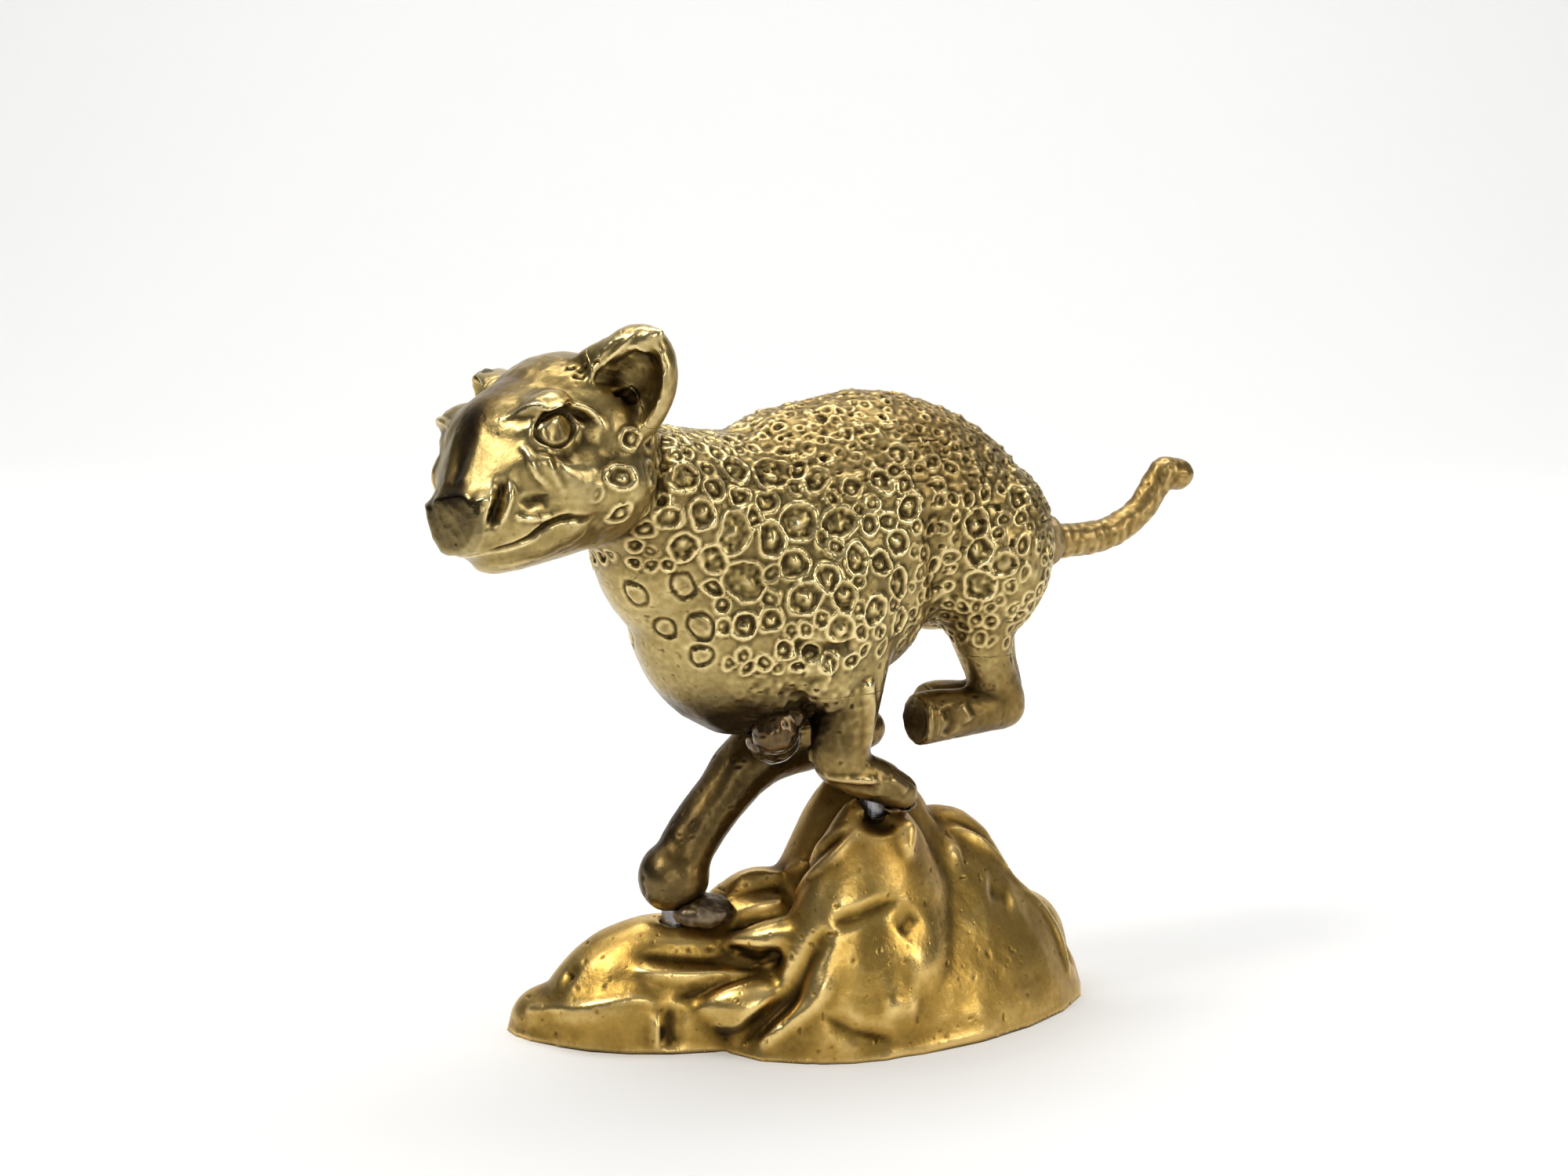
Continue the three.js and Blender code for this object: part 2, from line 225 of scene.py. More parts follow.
def curve(points, steps=6):
    """A smooth line through a few points."""
    points = np.asarray(points, float)
    padded = np.vstack([2 * points[0] - points[1], points, 2 * points[-1] - points[-2]])
    made = []
    for i in range(len(points) - 1):
        p0, p1, p2, p3 = padded[i : i + 4]
        for t in np.arange(steps) / steps:
            made.append(
                0.5 * (2 * p1 + (p2 - p0) * t + (2 * p0 - 5 * p1 + 4 * p2 - p3) * t**2
                       + (3 * p1 - p0 - 3 * p2 + p3) * t**3)
            )
    made.append(points[-1])
    return np.array(made)


def wobble(points, size, seed):
    """Smooth noise from -1 to 1, with lumps of about this size. size is one number, or one for each axis."""
    cells = 24
    table = np.random.default_rng(seed).uniform(-1, 1, (cells, cells, cells))
    place = points / np.asarray(size)
    cell = np.floor(place).astype(int)
    t = place - cell
    t = t * t * (3 - 2 * t)
    total = np.zeros(len(points))
    for corner in np.ndindex(2, 2, 2):
        weight = np.prod(np.where(corner, t, 1 - t), axis=1)
        x, y, z = ((cell + corner) % cells).T
        total += weight * table[x, y, z]
    return total


class Skin:
    """A mesh being sculpted: its points and normals, in layout millimetres."""

    def __init__(self, obj):
        self.obj = obj
        self.points = read_points(obj.data)
        self.edges = read_array(obj.data.edges, "vertices", 2, np.int64)
        self.refresh()
        self.note_surface()

    def note_surface(self):
        """Keeps the skin as it is now, to find places on it."""
        shape = bmesh.new()
        shape.from_mesh(self.obj.data)
        self.surface = BVHTree.FromBMesh(shape)
        shape.free()
        broad = smoothed(self.normals, self.edges, 0.5, 10)
        self.broad_normals = broad / np.linalg.norm(broad, axis=1, keepdims=True)

    def snapped(self, points):
        """The nearest places on the skin."""
        found = []
        for point in np.atleast_2d(points):
            place = self.surface.find_nearest(Vector((point + ORIGIN) * MM))[0]
            found.append(np.array(place) / MM - ORIGIN)
        return np.array(found)

    def seen_from(self, place, direction):
        """Where a ray first meets the skin, or None."""
        start = Vector((np.asarray(place, float) + ORIGIN) * MM)
        hit = self.surface.ray_cast(start, Vector(direction))[0]
        return None if hit is None else np.array(hit) / MM - ORIGIN

    def near(self, points, reach):
        """The indices of the skin's points within a box round these."""
        inside = (self.points > points.min(0) - reach) & (self.points < points.max(0) + reach)
        return np.flatnonzero(inside.all(1))

    def stroke(self, line, width, height, taper=(0.15, 0.15), head=None):
        """Raises a ridge along a line on the skin, or cuts a groove where height is negative.

        The line is in the layout, or in the head's frame where head names a side (-1 left, 1 right).
        """
        line = np.atleast_2d(np.asarray(line, float))
        if head is not None:
            line = from_head_side(line, head)
        path = curve(line) if len(line) > 1 else np.vstack([line, line + 1e-3])
        path = self.snapped(path)
        path = path[np.r_[True, np.linalg.norm(np.diff(path, axis=0), axis=1) > 1e-3]]
        if len(path) < 2:
            path = np.vstack([path, path + 1e-3])
        near = self.near(path, width)
        if not len(near):
            return
        distance, along = to_line(self.points[near], path)
        amount = height * fall_off(distance, width)
        if len(line) > 1:
            for end, share in zip((along, 1 - along), taper):
                if share:
                    amount *= smooth_step(0, share, end)
        self.points[near] += self.broad_normals[near] * amount[:, None]

    def facet(self, corners, strength, edge, side, reach=3.0):
        """Brings a side of the head to the flat face between these corners, fading out over its edge."""
        corners = self.snapped(from_head_side(corners, side))
        middle = corners.mean(0)
        across, up, outward = np.linalg.svd(corners - middle)[2]
        near = self.near(corners, reach)
        offset = self.points[near] - middle
        height = offset @ outward
        outline = np.stack([(corners - middle) @ across, (corners - middle) @ up], 1)
        place = np.stack([offset @ across, offset @ up], 1)
        step = np.roll(outline, -1, 0) - outline
        turning = np.sign(step[0, 0] * step[1, 1] - step[0, 1] * step[1, 0])
        inside = np.full(len(near), 1e9)
        for corner, side in zip(outline, step):
            normal = turning * np.array([-side[1], side[0]]) / np.linalg.norm(side)
            inside = np.minimum(inside, (place - corner) @ normal)
        weight = strength * smooth_step(-edge, edge * 0.5, inside) * (np.abs(height) < reach)
        self.points[near] -= (height * weight)[:, None] * outward

    def refresh(self):
        """Writes the points back and reads the new normals."""
        write_points(self.obj.data, self.points)
        self.normals = read_array(self.obj.data.vertices, "normal", 3)

    def push(self, amount):
        """Moves each point along its normal, by this many millimetres."""
        self.points += self.normals * np.asarray(amount)[:, None]

    def smooth(self, strength, rounds):
        self.points = smoothed(self.points, self.edges, strength, rounds)

    def relief(self, rounds):
        """How far each point stands above the skin around it: above 0 on ridges, below 0 in hollows."""
        settled = smoothed(self.points, self.edges, 0.5, rounds)
        return ((self.points - settled) * self.normals).sum(1)

    def keep(self, name, values, low, high):
        """Stores one number for each point, held between low and high, for the materials."""
        attribute = self.obj.data.attributes.new(name, "FLOAT", "POINT")
        attribute.data.foreach_set("value", np.clip(values, low, high).astype(np.float32))

    def keep_patina(self, relief, warm, shade, polish):
        """Stores the four masks that aged_brass reads."""
        self.keep("relief", relief, -1, 1)
        self.keep("warm", warm, 0, 1.2)
        self.keep("shade", shade, 0, 1)
        self.keep("polish", polish, -0.6, 1)


# ---------------------------------------------------------------- the cat's skin

SWELL = 0.2  # carries the castings over their fitted gaps
CAT_VOXEL = 0.64  # one subdivision later halves it

# The flat nose, in the head's frame.
NOSE_PLANE = 42.8  # how far it stands before the neck
NOSE_TOP, NOSE_BOTTOM = 0.9, -8.4  # its edges' heights
NOSE_MIDDLE = -0.6  # its Y
NOSE_HALF_WIDTH = 6.4
NOSE_SHIELD = ((-0.3, 0, 0.12, 0.4, 0.75, 1), (0.2, 0.36, 0.55, 0.86, 1.0, 1.02))  # share of it, going up

# Small masses that the plain castings leave out: (centre, radii, direction of the long side).
HEAD_LUMPS = (
    ((-20.3, -12.4, 18.4), (9.5, 2.6, 2.8), (3.6, -13, 3.4)),  # the crown runs up into the left ear
    ((-35.4, -4.4, 3.2), (6.6, 4.0, 5.2), (1, 0, -0.6)),  # sides of the muzzle
    ((-35.4, 3.6, 3.2), (6.6, 4.0, 5.2), (1, 0, -0.6)),
    ((-33.5, -8, 2.4), (5.5, 2.8, 3.6), (1, 0, -0.7)),
    ((-33.5, 8, 2.4), (5.5, 2.8, 3.6), (1, 0, -0.7)),
    ((-34.5, -5.4, -1.6), (7, 3.6, 4.2), (1, 0.1, 0)),
    ((-34.5, 5, -1.6), (7, 3.6, 4.2), (1, -0.1, 0)),
)
PAIRED_HEAD_LUMPS = (
    ((-33, -4.6, -5.6), (8.4, 4.0, 3.2), (1, 0.12, -0.25)),  # closes the mouth
    ((-28, -8.4, -4.6), (4.4, 2.4, 2.6), (1, 0.4, 0)),
    ((-30, -9, 4.4), (7, 4, 5), (1, 0.5, 0)),  # below the eye
    ((-27, -10.5, 1), (7, 3.6, 5), (1, 0, -0.2)),  # cheek bone
)
BODY_LUMPS = (
    ((34, -9, 72.5), (5.5, 4, 4), (0, 0, 1)),  # buttock, left
    ((37, 7, 72), (6, 4.5, 4.2), (0, 0, 1)),  # buttock, right
    ((-5, -14.5, 60), (6, 3.4, 4.5), (0.3, 0, -1)),  # elbow
)


def cat_lumps():
    """All the cat's lumps in the layout. The paired ones stand on both sides of the head."""
    lumps = list(BODY_LUMPS)
    for centre, radii, axis in HEAD_LUMPS:
        lumps.append((from_head(centre), radii, HEAD_AXES @ axis))
    for centre, radii, axis in PAIRED_HEAD_LUMPS:
        for side in (-1, 1):
            turned_axis = HEAD_AXES @ (np.array(axis) * [1, -side, 1])
            lumps.append((from_head_side(centre, side), radii, turned_axis))
    return lumps


def fused(names, voxel, lumps, swell=SWELL):
    """The castings, and extra ellipsoids, as one skin."""
    obj = joined_castings(names, swell)
    shape = bmesh.new()
    shape.from_mesh(obj.data)
    for centre, radii, axis in lumps:
        add_lump(shape, centre, radii, axis)
    shape.to_mesh(obj.data)
    shape.free()
    apply_modifier(obj, "REMESH", mode="VOXEL", voxel_size=voxel * MM, adaptivity=0)
    return Skin(obj)


def add_lump(shape, centre, radii, axis):
    """An ellipsoid whose long side lies along an axis, in layout millimetres."""
    along = Vector(axis).normalized()
    turn = along.to_track_quat("X", "Z").to_matrix().to_4x4()
    size = Matrix.Diagonal((*(r * MM for r in radii), 1))
    place = Matrix.Translation(Vector((np.asarray(centre, float) + ORIGIN) * MM))
    bmesh.ops.create_uvsphere(shape, u_segments=32, v_segments=20, radius=1, matrix=place @ turn @ size)


def head_share(points):
    """1 on the head, 0 on the body."""
    return smooth_step(-9, -15, head_local(points)[:, 0])


def cat_skin():
    """The cat in one skin, with the castings' edges softened, and fine enough to carve."""
    skin = fused(CAT_CASTINGS, CAT_VOXEL, cat_lumps())
    skin.points = from_head(lower_right_ear(head_local(skin.points)))
    points = skin.points
    head = head_local(points)
    on_head = head_share(points)
    on_ear = on_head * smooth_step(11.5, 14, head[:, 2] + 0.5 * np.abs(head[:, 1]) - 5)
    brow = np.abs(head - [-29, 0, 10])
    brow[:, 1] = np.abs(brow[:, 1] - 9)
    by_eye = on_head * fall_off(np.linalg.norm(brow, axis=1), 10)
    on_leg = smooth_step(60, 54, points[:, 2])
    on_tail = smooth_step(46, 49, points[:, 0])
    firm = np.maximum.reduce([on_head * 0.78, on_ear * 0.96, on_leg * 0.86, on_tail * 0.9])
    on_face = on_head * smooth_step(-24, -29, head[:, 0])
    firm = firm * (1 - np.maximum(0.7 * by_eye, 0.55 * on_face) * (1 - on_ear))
    skin.smooth(0.5 * (1 - firm), 26)
    skin.refresh()
    skin.push(np.full(len(skin.points), -SWELL * 0.5))
    skin.points = from_head(shape_nose(head_local(skin.points)))
    skin.refresh()
    apply_modifier(skin.obj, "SUBSURF", levels=1, render_levels=1)
    return Skin(skin.obj)


def lower_right_ear(head):
    """Brings the right ear's tip down, since only its top shows over the forehead."""
    on_ear = smooth_step(6, 9, head[:, 1]) * smooth_step(-26, -23, head[:, 0])
    head[:, 2] -= 0.42 * np.maximum(head[:, 2] - 16.5, 0) * on_ear
    return head


def shape_nose(head):
    """Gives the muzzle's end its shield: wide and square at the top, narrow below, and flat in front."""
    levels = np.linspace(-9, 3, 25)
    rows = head[(head[:, 0] < -NOSE_PLANE + 0.4) & (np.abs(head[:, 1]) < 10)]
    widths = []
    for level in levels:
        row = rows[np.abs(rows[:, 2] - level) < 0.4, 1]
        widths.append(np.abs(row - NOSE_MIDDLE).max() if len(row) else 2.5)
    half = np.interp(head[:, 2], levels, smoothed_row(np.array(widths)))
    up = (head[:, 2] - NOSE_BOTTOM) / (NOSE_TOP - NOSE_BOTTOM)
    shield = NOSE_HALF_WIDTH * np.interp(up, *NOSE_SHIELD)
    scale = np.clip(shield / half, 0.6, 1.8)
    near_front = smooth_step(-35.5, -41.5, head[:, 0]) * smooth_step(-11, -9.4, head[:, 2])
    near_front *= smooth_step(1.1, 0.92, up)
    head[:, 1] = NOSE_MIDDLE + (head[:, 1] - NOSE_MIDDLE) * (1 + (scale - 1) * near_front)
    # The bridge comes down in a straight slope to the nose's top edge.
    slope_top = NOSE_TOP + 1.25 * (head[:, 0] + NOSE_PLANE)
    above = np.maximum(head[:, 2] - slope_top, 0)
    head[:, 2] -= 0.9 * above * smooth_step(-38, -41, head[:, 0])
    head[:, 0] = np.maximum(head[:, 0], -NOSE_PLANE)
    return head


def smoothed_row(values):
    """A row of numbers, each averaged with its neighbours."""
    for _ in range(2):
        padded = np.r_[values[0], values, values[-1]]
        values = (padded[:-2] + 2 * padded[1:-1] + padded[2:]) / 4
    return values


# ---------------------------------------------------------------- the cat's face

# Strokes on the left side of the face, in the head's frame: (line, width, height).
FACE_MASSES = (
    ([(-31, -12, 7.6)], 6.6, -1.5),  # eye socket
    ([(-35, -9, 8.4), (-31.5, -12, 7.2), (-29, -12.6, 7.4)], 3.4, -0.7),
    ([(-39, -6.6, -4.6), (-34, -8, -2.6), (-29, -9, -1.6)], 3.0, 0.5),  # whisker pad
    ([(-27.8, -8.6, -5.4), (-31, -7.2, -6.4), (-36, -4.8, -8.2)], 2.0, 0.3),  # lower lip
    ([(-22, -14, -1)], 6.0, 0.5),  # cheek
)

FACE_LINES = (
    ([(-37.4, -4.4, 10.5), (-35.2, -7.2, 11.4), (-32.2, -11.4, 11.9), (-29.4, -12.2, 12.2),
      (-26.6, -12.6, 11.4), (-24.8, -13.6, 9.2), (-24.4, -13.8, 6.8)], 0.9, 0.62),  # crest of the brow
    ([(-36.4, -6.4, 9.8), (-33.8, -10, 10.4), (-30.4, -12, 10.9), (-27.4, -12.8, 10.1),
      (-25.8, -13.4, 8.2)], 1.4, -0.75),  # under the brow
    ([(-34.4, -10.6, 5.4), (-31.8, -11.8, 4.4), (-29, -12.4, 4.6)], 1.3, -0.35),  # under the eye
    ([(-36.1, -8.3, 7.6), (-35, -9.7, 4.9), (-31.5, -9.9, 0.2)], 1.0, 0.38),  # tear ridge
    ([(-35.2, -9.7, 6), (-33.2, -10.9, 3.6), (-30.1, -11, 0.4)], 1.1, -0.3),
    ([(-38.2, -6.8, 3.2), (-40, -7.2, -0.6), (-41.6, -6.6, -4.8)], 1.35, -1.35),  # nostril
    ([(-37.6, -7.4, 2.6), (-38.8, -8, -0.6), (-40, -7.4, -4)], 0.7, 0.3),  # nostril wing
    ([(-37.6, -7.7, -1.3), (-34.8, -8.4, -0.6), (-31.6, -9, -0.8)], 1.3, -0.4),  # whisker hollow
    ([(-37.8, -7.5, -2.2), (-36.6, -7.4, -3), (-33.4, -8, -3.2), (-29.2, -8.9, -2.6)],
     0.8, 0.34),  # whisker roll
    ([(-42.4, 0.6, -8.2), (-41.4, -2.1, -7.6), (-39.4, -3.6, -6.9), (-36.1, -5.9, -5.2), (-31.3, -7.8, -3.7),
      (-27.6, -9, -3), (-26, -10.2, -3.2)], 0.75, -0.62),  # mouth
    ([(-26.4, -9.8, -4.6), (-27.4, -8.4, -6.2), (-31, -6.6, -8), (-36, -4.2, -9.7), (-38.6, -1.4, -10)],
     0.65, 0.22),  # edge of the lower lip
)

EAR_LINES = (
    ([(-20.6, -13, 14.2), (-20.4, -14.4, 16.4), (-19.4, -16.2, 18.4), (-17.8, -18.4, 19.6)],
     2.6, -1.5),  # wider cup
    ([(-19.4, -13.2, 12.4), (-19.6, -13.8, 14.4)], 2.2, -1.0),
    ([(-18.6, -13.2, 12.4)], 1.8, -1.0),  # ear hole
    ([(-24.2, -11.4, 14), (-22.9, -13.2, 17), (-20.6, -16, 19.6), (-18, -19.1, 21.4)], 0.6, 0.2),
)

BRIDGE_SIDE = (-38.4, -5.6, 5.6)  # the middle of the bridge's left side, painted golden and lighter as a highlight

# That flat side, from the brow to the nostril.
NOSE_FACET = ((-37.6, -3.6, 10), (-36, -8.6, 7), (-39, -7, 1.2), (-42, -4.4, 0.6), (-42, -1.6, 3.6))

# Small marks where the left ear was brazed on.
BRAZE_MARKS = (
    [(-25, -7.4, 17.6), (-24, -8.6, 17.2)],
    [(-24.4, -9.4, 16.6), (-23.2, -10.4, 17.4)],
    [(-25.2, -9, 16.2), (-24.2, -10.6, 15.6)],
    [(-23.6, -11.6, 17.2), (-22.8, -12.6, 17.8)],
)

EYE = np.array([-31.1, 0, 8.6])  # the left eye, but for its Y
EYE_LENGTH, EYE_HEIGHT = 3.9, 2.9  # half sizes of the ring of the lids
EYE_BULGE = 1.15


def carve_eye(skin, side):
    """A bulging eyeball in a ring of lids."""
    head = head_local(skin.points)
    offset = head - EYE
    across = np.hypot(offset[:, 0] / EYE_LENGTH, (offset[:, 2] - 0.1 * offset[:, 0]) / EYE_HEIGHT)
    here = (head[:, 1] * side > 7) & (across < 1.6)
    outward = skin.broad_normals[here].mean(0)
    outward /= np.linalg.norm(outward)
    u = across[here]
    height = EYE_BULGE * np.sqrt(np.clip(1 - (u / 0.8) ** 2, 0, 1))
    upper = 0.5 + 0.5 * np.clip(offset[here, 2] / EYE_HEIGHT, -1, 1)
    height += (0.28 + 0.34 * upper) * bell(u - 1.0, 0.2)  # the lids, the upper one thicker
    height -= 0.3 * bell(u - 0.8, 0.09)  # the groove inside them
    skin.points[here] += height[:, None] * outward


def soften_muzzle(skin):
    """Takes the creases out of the muzzle's sides, but leaves the nose its edges."""
    head = head_local(skin.points)
    share = smooth_step(-28, -32, head[:, 0]) * smooth_step(-42, -40.6, head[:, 0])
    share *= smooth_step(-8.5, -6.5, head[:, 2]) * smooth_step(9, 6, head[:, 2])
    share *= smooth_step(3, 5, np.abs(head[:, 1]))
    skin.smooth(0.5 * share * head_share(skin.points), 40)
    skin.refresh()


def carve_face(skin):
    """Broad masses first, then the fine lines and the eyes, and then the ears."""
    for strokes in (FACE_MASSES, FACE_LINES, EAR_LINES):
        for side in (-1, 1):
            for line, width, height in strokes:
                skin.stroke(line, width, height, taper=(0.32, 0.32), head=side)
            if strokes is FACE_MASSES:
                skin.facet(NOSE_FACET, strength=0.8, edge=1.8, side=side)
            elif strokes is FACE_LINES:
                carve_eye(skin, side)
        skin.refresh()
        if strokes is FACE_MASSES:
            soften_muzzle(skin)
        skin.note_surface()
    for line in BRAZE_MARKS:
        skin.stroke(line, 0.5, -0.35, head=-1)
    skin.refresh()


# ---------------------------------------------------------------- the cat's spots

# The large rosettes on the left side of the body: (x, z, radius). The right side has the same kind.
ROSETTES = (
    (-29.5, 92, 2.2), (-20, 92.5, 2.1), (-24.5, 90, 1.7), (-13.5, 91.5, 2.7), (-20.5, 88.5, 1.6),
    (-16, 87.5, 1.9), (-11, 84.5, 2.8), (-4.5, 84, 2.4), (-32, 86, 1.8), (-27, 86.5, 2.0),
    (-22, 83.5, 2.6), (-16, 82, 2.3), (-25, 79.5, 2.1), (-29.5, 81.5, 2.1), (-12.5, 78, 2.3),
    (-20, 76, 3.0), (-7.5, 76, 2.2), (-2.5, 78.5, 2.0), (2, 77.5, 1.9), (5.5, 74, 2.0),
    (-24.2, 75, 1.5), (-11, 73, 2.3), (-5, 73, 2.0), (-20, 69.2, 2.0), (-16.2, 70, 1.8),
    (-5.5, 68, 2.1), (0.5, 70.5, 2.0), (6.5, 68, 1.9), (3.5, 89.5, 2.0), (8, 93.5, 1.7),
    (21, 82, 2.4), (21.5, 77.5, 2.2), (25.5, 75.5, 1.9), (22, 72, 2.4), (29.5, 85.5, 1.8),
    (8, 85.5, 2.0), (5.5, 80.5, 1.9), (-7, 90, 1.8), (-1.5, 89, 1.7), (0.5, 83.5, 1.7),
)

# Plain rings, cut rather than raised, on the smooth front of the chest: (x, y, z, radius).
CHEST_RINGS = (
    (-32, -5.5, 75, 1.9), (-28, -10.5, 75.5, 2.0), (-29, -7, 69, 1.9), (-25.5, -11, 69, 2.2),
    (-25, -10.5, 64.5, 1.9), (-30.5, 6, 73, 2.0), (-27.5, 10, 69.5, 1.9), (-29, 4, 66, 1.8),
)

# Rosettes on each cheek, in the head's frame: (x, y, z, radius).
CHEEK_SPOTS = (
    (-20.7, -14.8, 6.2, 1.6), (-23.2, -14.4, 0.9, 2.0), (-16.4, -13.6, 0.9, 2.1), (-22.6, -12.6, -4, 1.9),
    (-15.4, -10.6, -4.2, 1.8), (-27, -12.2, -0.6, 1.3), (-16.4, -13.8, 6, 1.7),
)


def place_spots(skin):
    """Each spot's centre and radius, and whether it is cut: the placed ones, then rosettes in the gaps."""
    rng = np.random.default_rng(7)
    spots = []
    for side in (-1, 1):
        for x, z, radius in ROSETTES:
            x_jitter, z_jitter = rng.uniform(-0.8, 0.8, 2) * (side > 0)
            place = skin.seen_from((x + x_jitter, side * 40, z + z_jitter), (0, -side, 0))
            if place is not None:
                spots.append((place, radius * 1.12, False))
    for side in (-1, 1):
        for x, y, z, radius in CHEEK_SPOTS:
            spots.append((skin.snapped(from_head_side((x, y, z), side))[0], radius, False))
    for x, y, z, radius in CHEST_RINGS:
        spots.append((skin.snapped([(x, y, z)])[0], radius, True))
    candidates = skin.points[rng.choice(len(skin.points), 9000, replace=False)]
    for place in candidates:
        radius = small_spot_radius(place) * rng.uniform(0.8, 1.2)
        if radius < 0.5:
            continue
        clear = all(np.linalg.norm(place - other) > (radius + size) * 0.86 for other, size, _ in spots)
        if clear:
            spots.append((place, radius, False))
    return tuple(np.array(column) for column in zip(*spots))


def small_spot_radius(place):
    """How large a filling rosette may be here; 0 where there are none."""
    x, y, z = place
    if head_local(place)[0] < -13.5 or z < 62 or x > 44:
        return 0  # the head, the legs and the tail
    if x < -22 and z < 78 and abs(y) < 13:
        return 0  # the chest's front is smooth
    if z > 92 and x > -12:
        return 0.95  # the back has only small marks
    if x > 8:
        return 1.25 if z > 66 else 1.0
    return 1.45


def carve_spots(skin):
    """Rosettes: a thin raised ring round a sunken, rough middle with a bump in it. They share their walls."""
    centres, radii, cut = place_spots(skin)
    rng = np.random.default_rng(11)
    spin = rng.uniform(0, math.pi, len(centres))
    stretch = rng.uniform(1.0, 1.32, len(centres))
    off_centre = rng.uniform(-0.22, 0.22, (len(centres), 3))
    strength = rng.uniform(0.75, 1.1, len(centres))
    points = skin.points
    # The nearest two spots' distances in their own radii, and which spot is the nearest.
    first = np.full(len(points), 9.0)
    second = np.full(len(points), 9.0)
    owner = np.zeros(len(points), int)
    warp = np.stack([wobble(points, 2.0, seed) for seed in (3, 4, 5)], 1) * 0.42
    bent = points + warp
    for index, (centre, radius) in enumerate(zip(centres, radii)):
        near = np.flatnonzero((np.abs(points - centre) < radius * 1.5).all(1))
        offset = bent[near] - centre
        long_side = np.array([math.cos(spin[index]), 0, math.sin(spin[index])])
        along = offset @ long_side
        squared = (offset**2).sum(1) - along**2 * (1 - 1 / stretch[index] ** 2)
        u = np.sqrt(np.maximum(squared, 0)) / radius
        closer = u < first[near]
        second[near] = np.where(closer, first[near], np.minimum(second[near], u))
        owner[near] = np.where(closer, index, owner[near])
        first[near] = np.where(closer, u, first[near])
    size = radii[owner]
    rim_width = 0.36 / size
    rim = bell(first - 0.9, rim_width)
    wall = bell(second - first, rim_width * 1.2) * (first < 1.0)
    rim = np.maximum(rim, wall) * (first < 1.35)
    pit = smooth_step(0.84, 0.5, first) * (1 - rim)
    middle = bent + off_centre[owner] * size[:, None]
    core_distance = np.linalg.norm(middle - centres[owner], axis=1) / size
    core = bell(core_distance, 0.34) * (first < 0.8)
    rough = wobble(points, 0.75, 21)
    height = 0.34 * rim - 0.3 * pit + 0.46 * core + 0.16 * rough * (first < 0.95)
    depth = np.clip(size / 2.0, 0.5, 1.1) * strength[owner]
    ring = -0.34 * bell(first - 0.85, 0.34 / size) + 0.06 * rough * (first < 0.8)
    height = np.where(cut[owner], ring, height * depth)
    head = head_local(points)
    face = head_share(points) * smooth_step(-25.5, -28.5, head[:, 0])
    height = height * (first < 1.45) * (1 - face)
    skin.push(height)
    skin.refresh()


# ---------------------------------------------------------------- the rest of the cat

BODY_LINES = (
    ([(13.5, -16.6, 86), (12.8, -16.8, 80), (13.8, -15.8, 75), (16.4, -13.4, 70.5)], 3.2, -1.0),  # thigh
    ([(13.5, 16.6, 86), (13.2, 16.8, 80), (14.8, 15.8, 75), (18, 13.4, 70.5)], 3.2, -1.0),
    ([(-31.5, -10, 97.5), (-31.8, -12.6, 94), (-33, -14, 90.4), (-33.4, -13.9, 86)],
     1.5, -0.8),  # behind the jaw
    ([(-31, 7, 97), (-31.4, 10.6, 92), (-32, 11.5, 86)], 1.5, -0.8),
    ([(-13, -16, 66), (-8, -18.6, 64.6), (-2.5, -18.4, 66)], 1.8, -0.8),  # crease over the elbow
    ([(-10.5, -16.8, 62), (-6, -18, 61.5)], 2.6, 0.7),
    ([(47.6, -2, 79), (47.2, -2.4, 76), (47.6, -1.6, 73)], 0.7, 0.3),  # seam of the tail
    ([(48.6, -1.4, 79), (48.2, -1.6, 76), (48.6, -1, 73)], 0.7, -0.3),
)

LEG_LINES = (
    ([(0.8, -15.2, 60), (1.9, -15.6, 54), (2.2, -15.4, 47.5)], 1.9, 0.55),  # edge of the left forearm
    ([(-5.4, -12.5, 44), (-1, -15.6, 43.4), (3.4, -15.4, 43)], 1.0, 0.55),  # wrist edge
    ([(-4.6, -13, 42.4), (0, -15.6, 41.6), (4, -15.4, 41.4)], 1.3, -0.3),
    ([(-4.9, -9.8, 48.4), (-5.1, -9.8, 45.8)], 1.3, 0.55),  # a drop of braze
    ([(5.5, -15.8, 43.5), (9, -15.6, 40.5)], 1.2, 0.3),
    ([(6.5, -13.4, 43.4), (11.6, -13.2, 38.8)], 0.7, -0.4),  # between the toes
    ([(6.5, -10, 44), (12, -10, 39.4)], 0.7, -0.4),
    ([(-26.4, 6.6, 27), (-26, 6.6, 23)], 0.8, -0.2),
    ([(14.6, -12.6, 53.6), (14.4, -13.6, 50), (14.2, -12, 46.4)], 0.9, 0.35),  # rim of the left toe cut
    ([(17.5, -13, 53), (18.8, -14, 50), (17.6, -13.4, 47.4)], 1.6, -0.45),
    ([(20.6, -13, 53), (22, -14, 49.8)], 1.6, 0.4),
)


def carve_body(skin):
    for strokes in (BODY_LINES, LEG_LINES):
        for line, width, height in strokes:
            skin.stroke(line, width, height)
        skin.refresh()
        skin.note_surface()


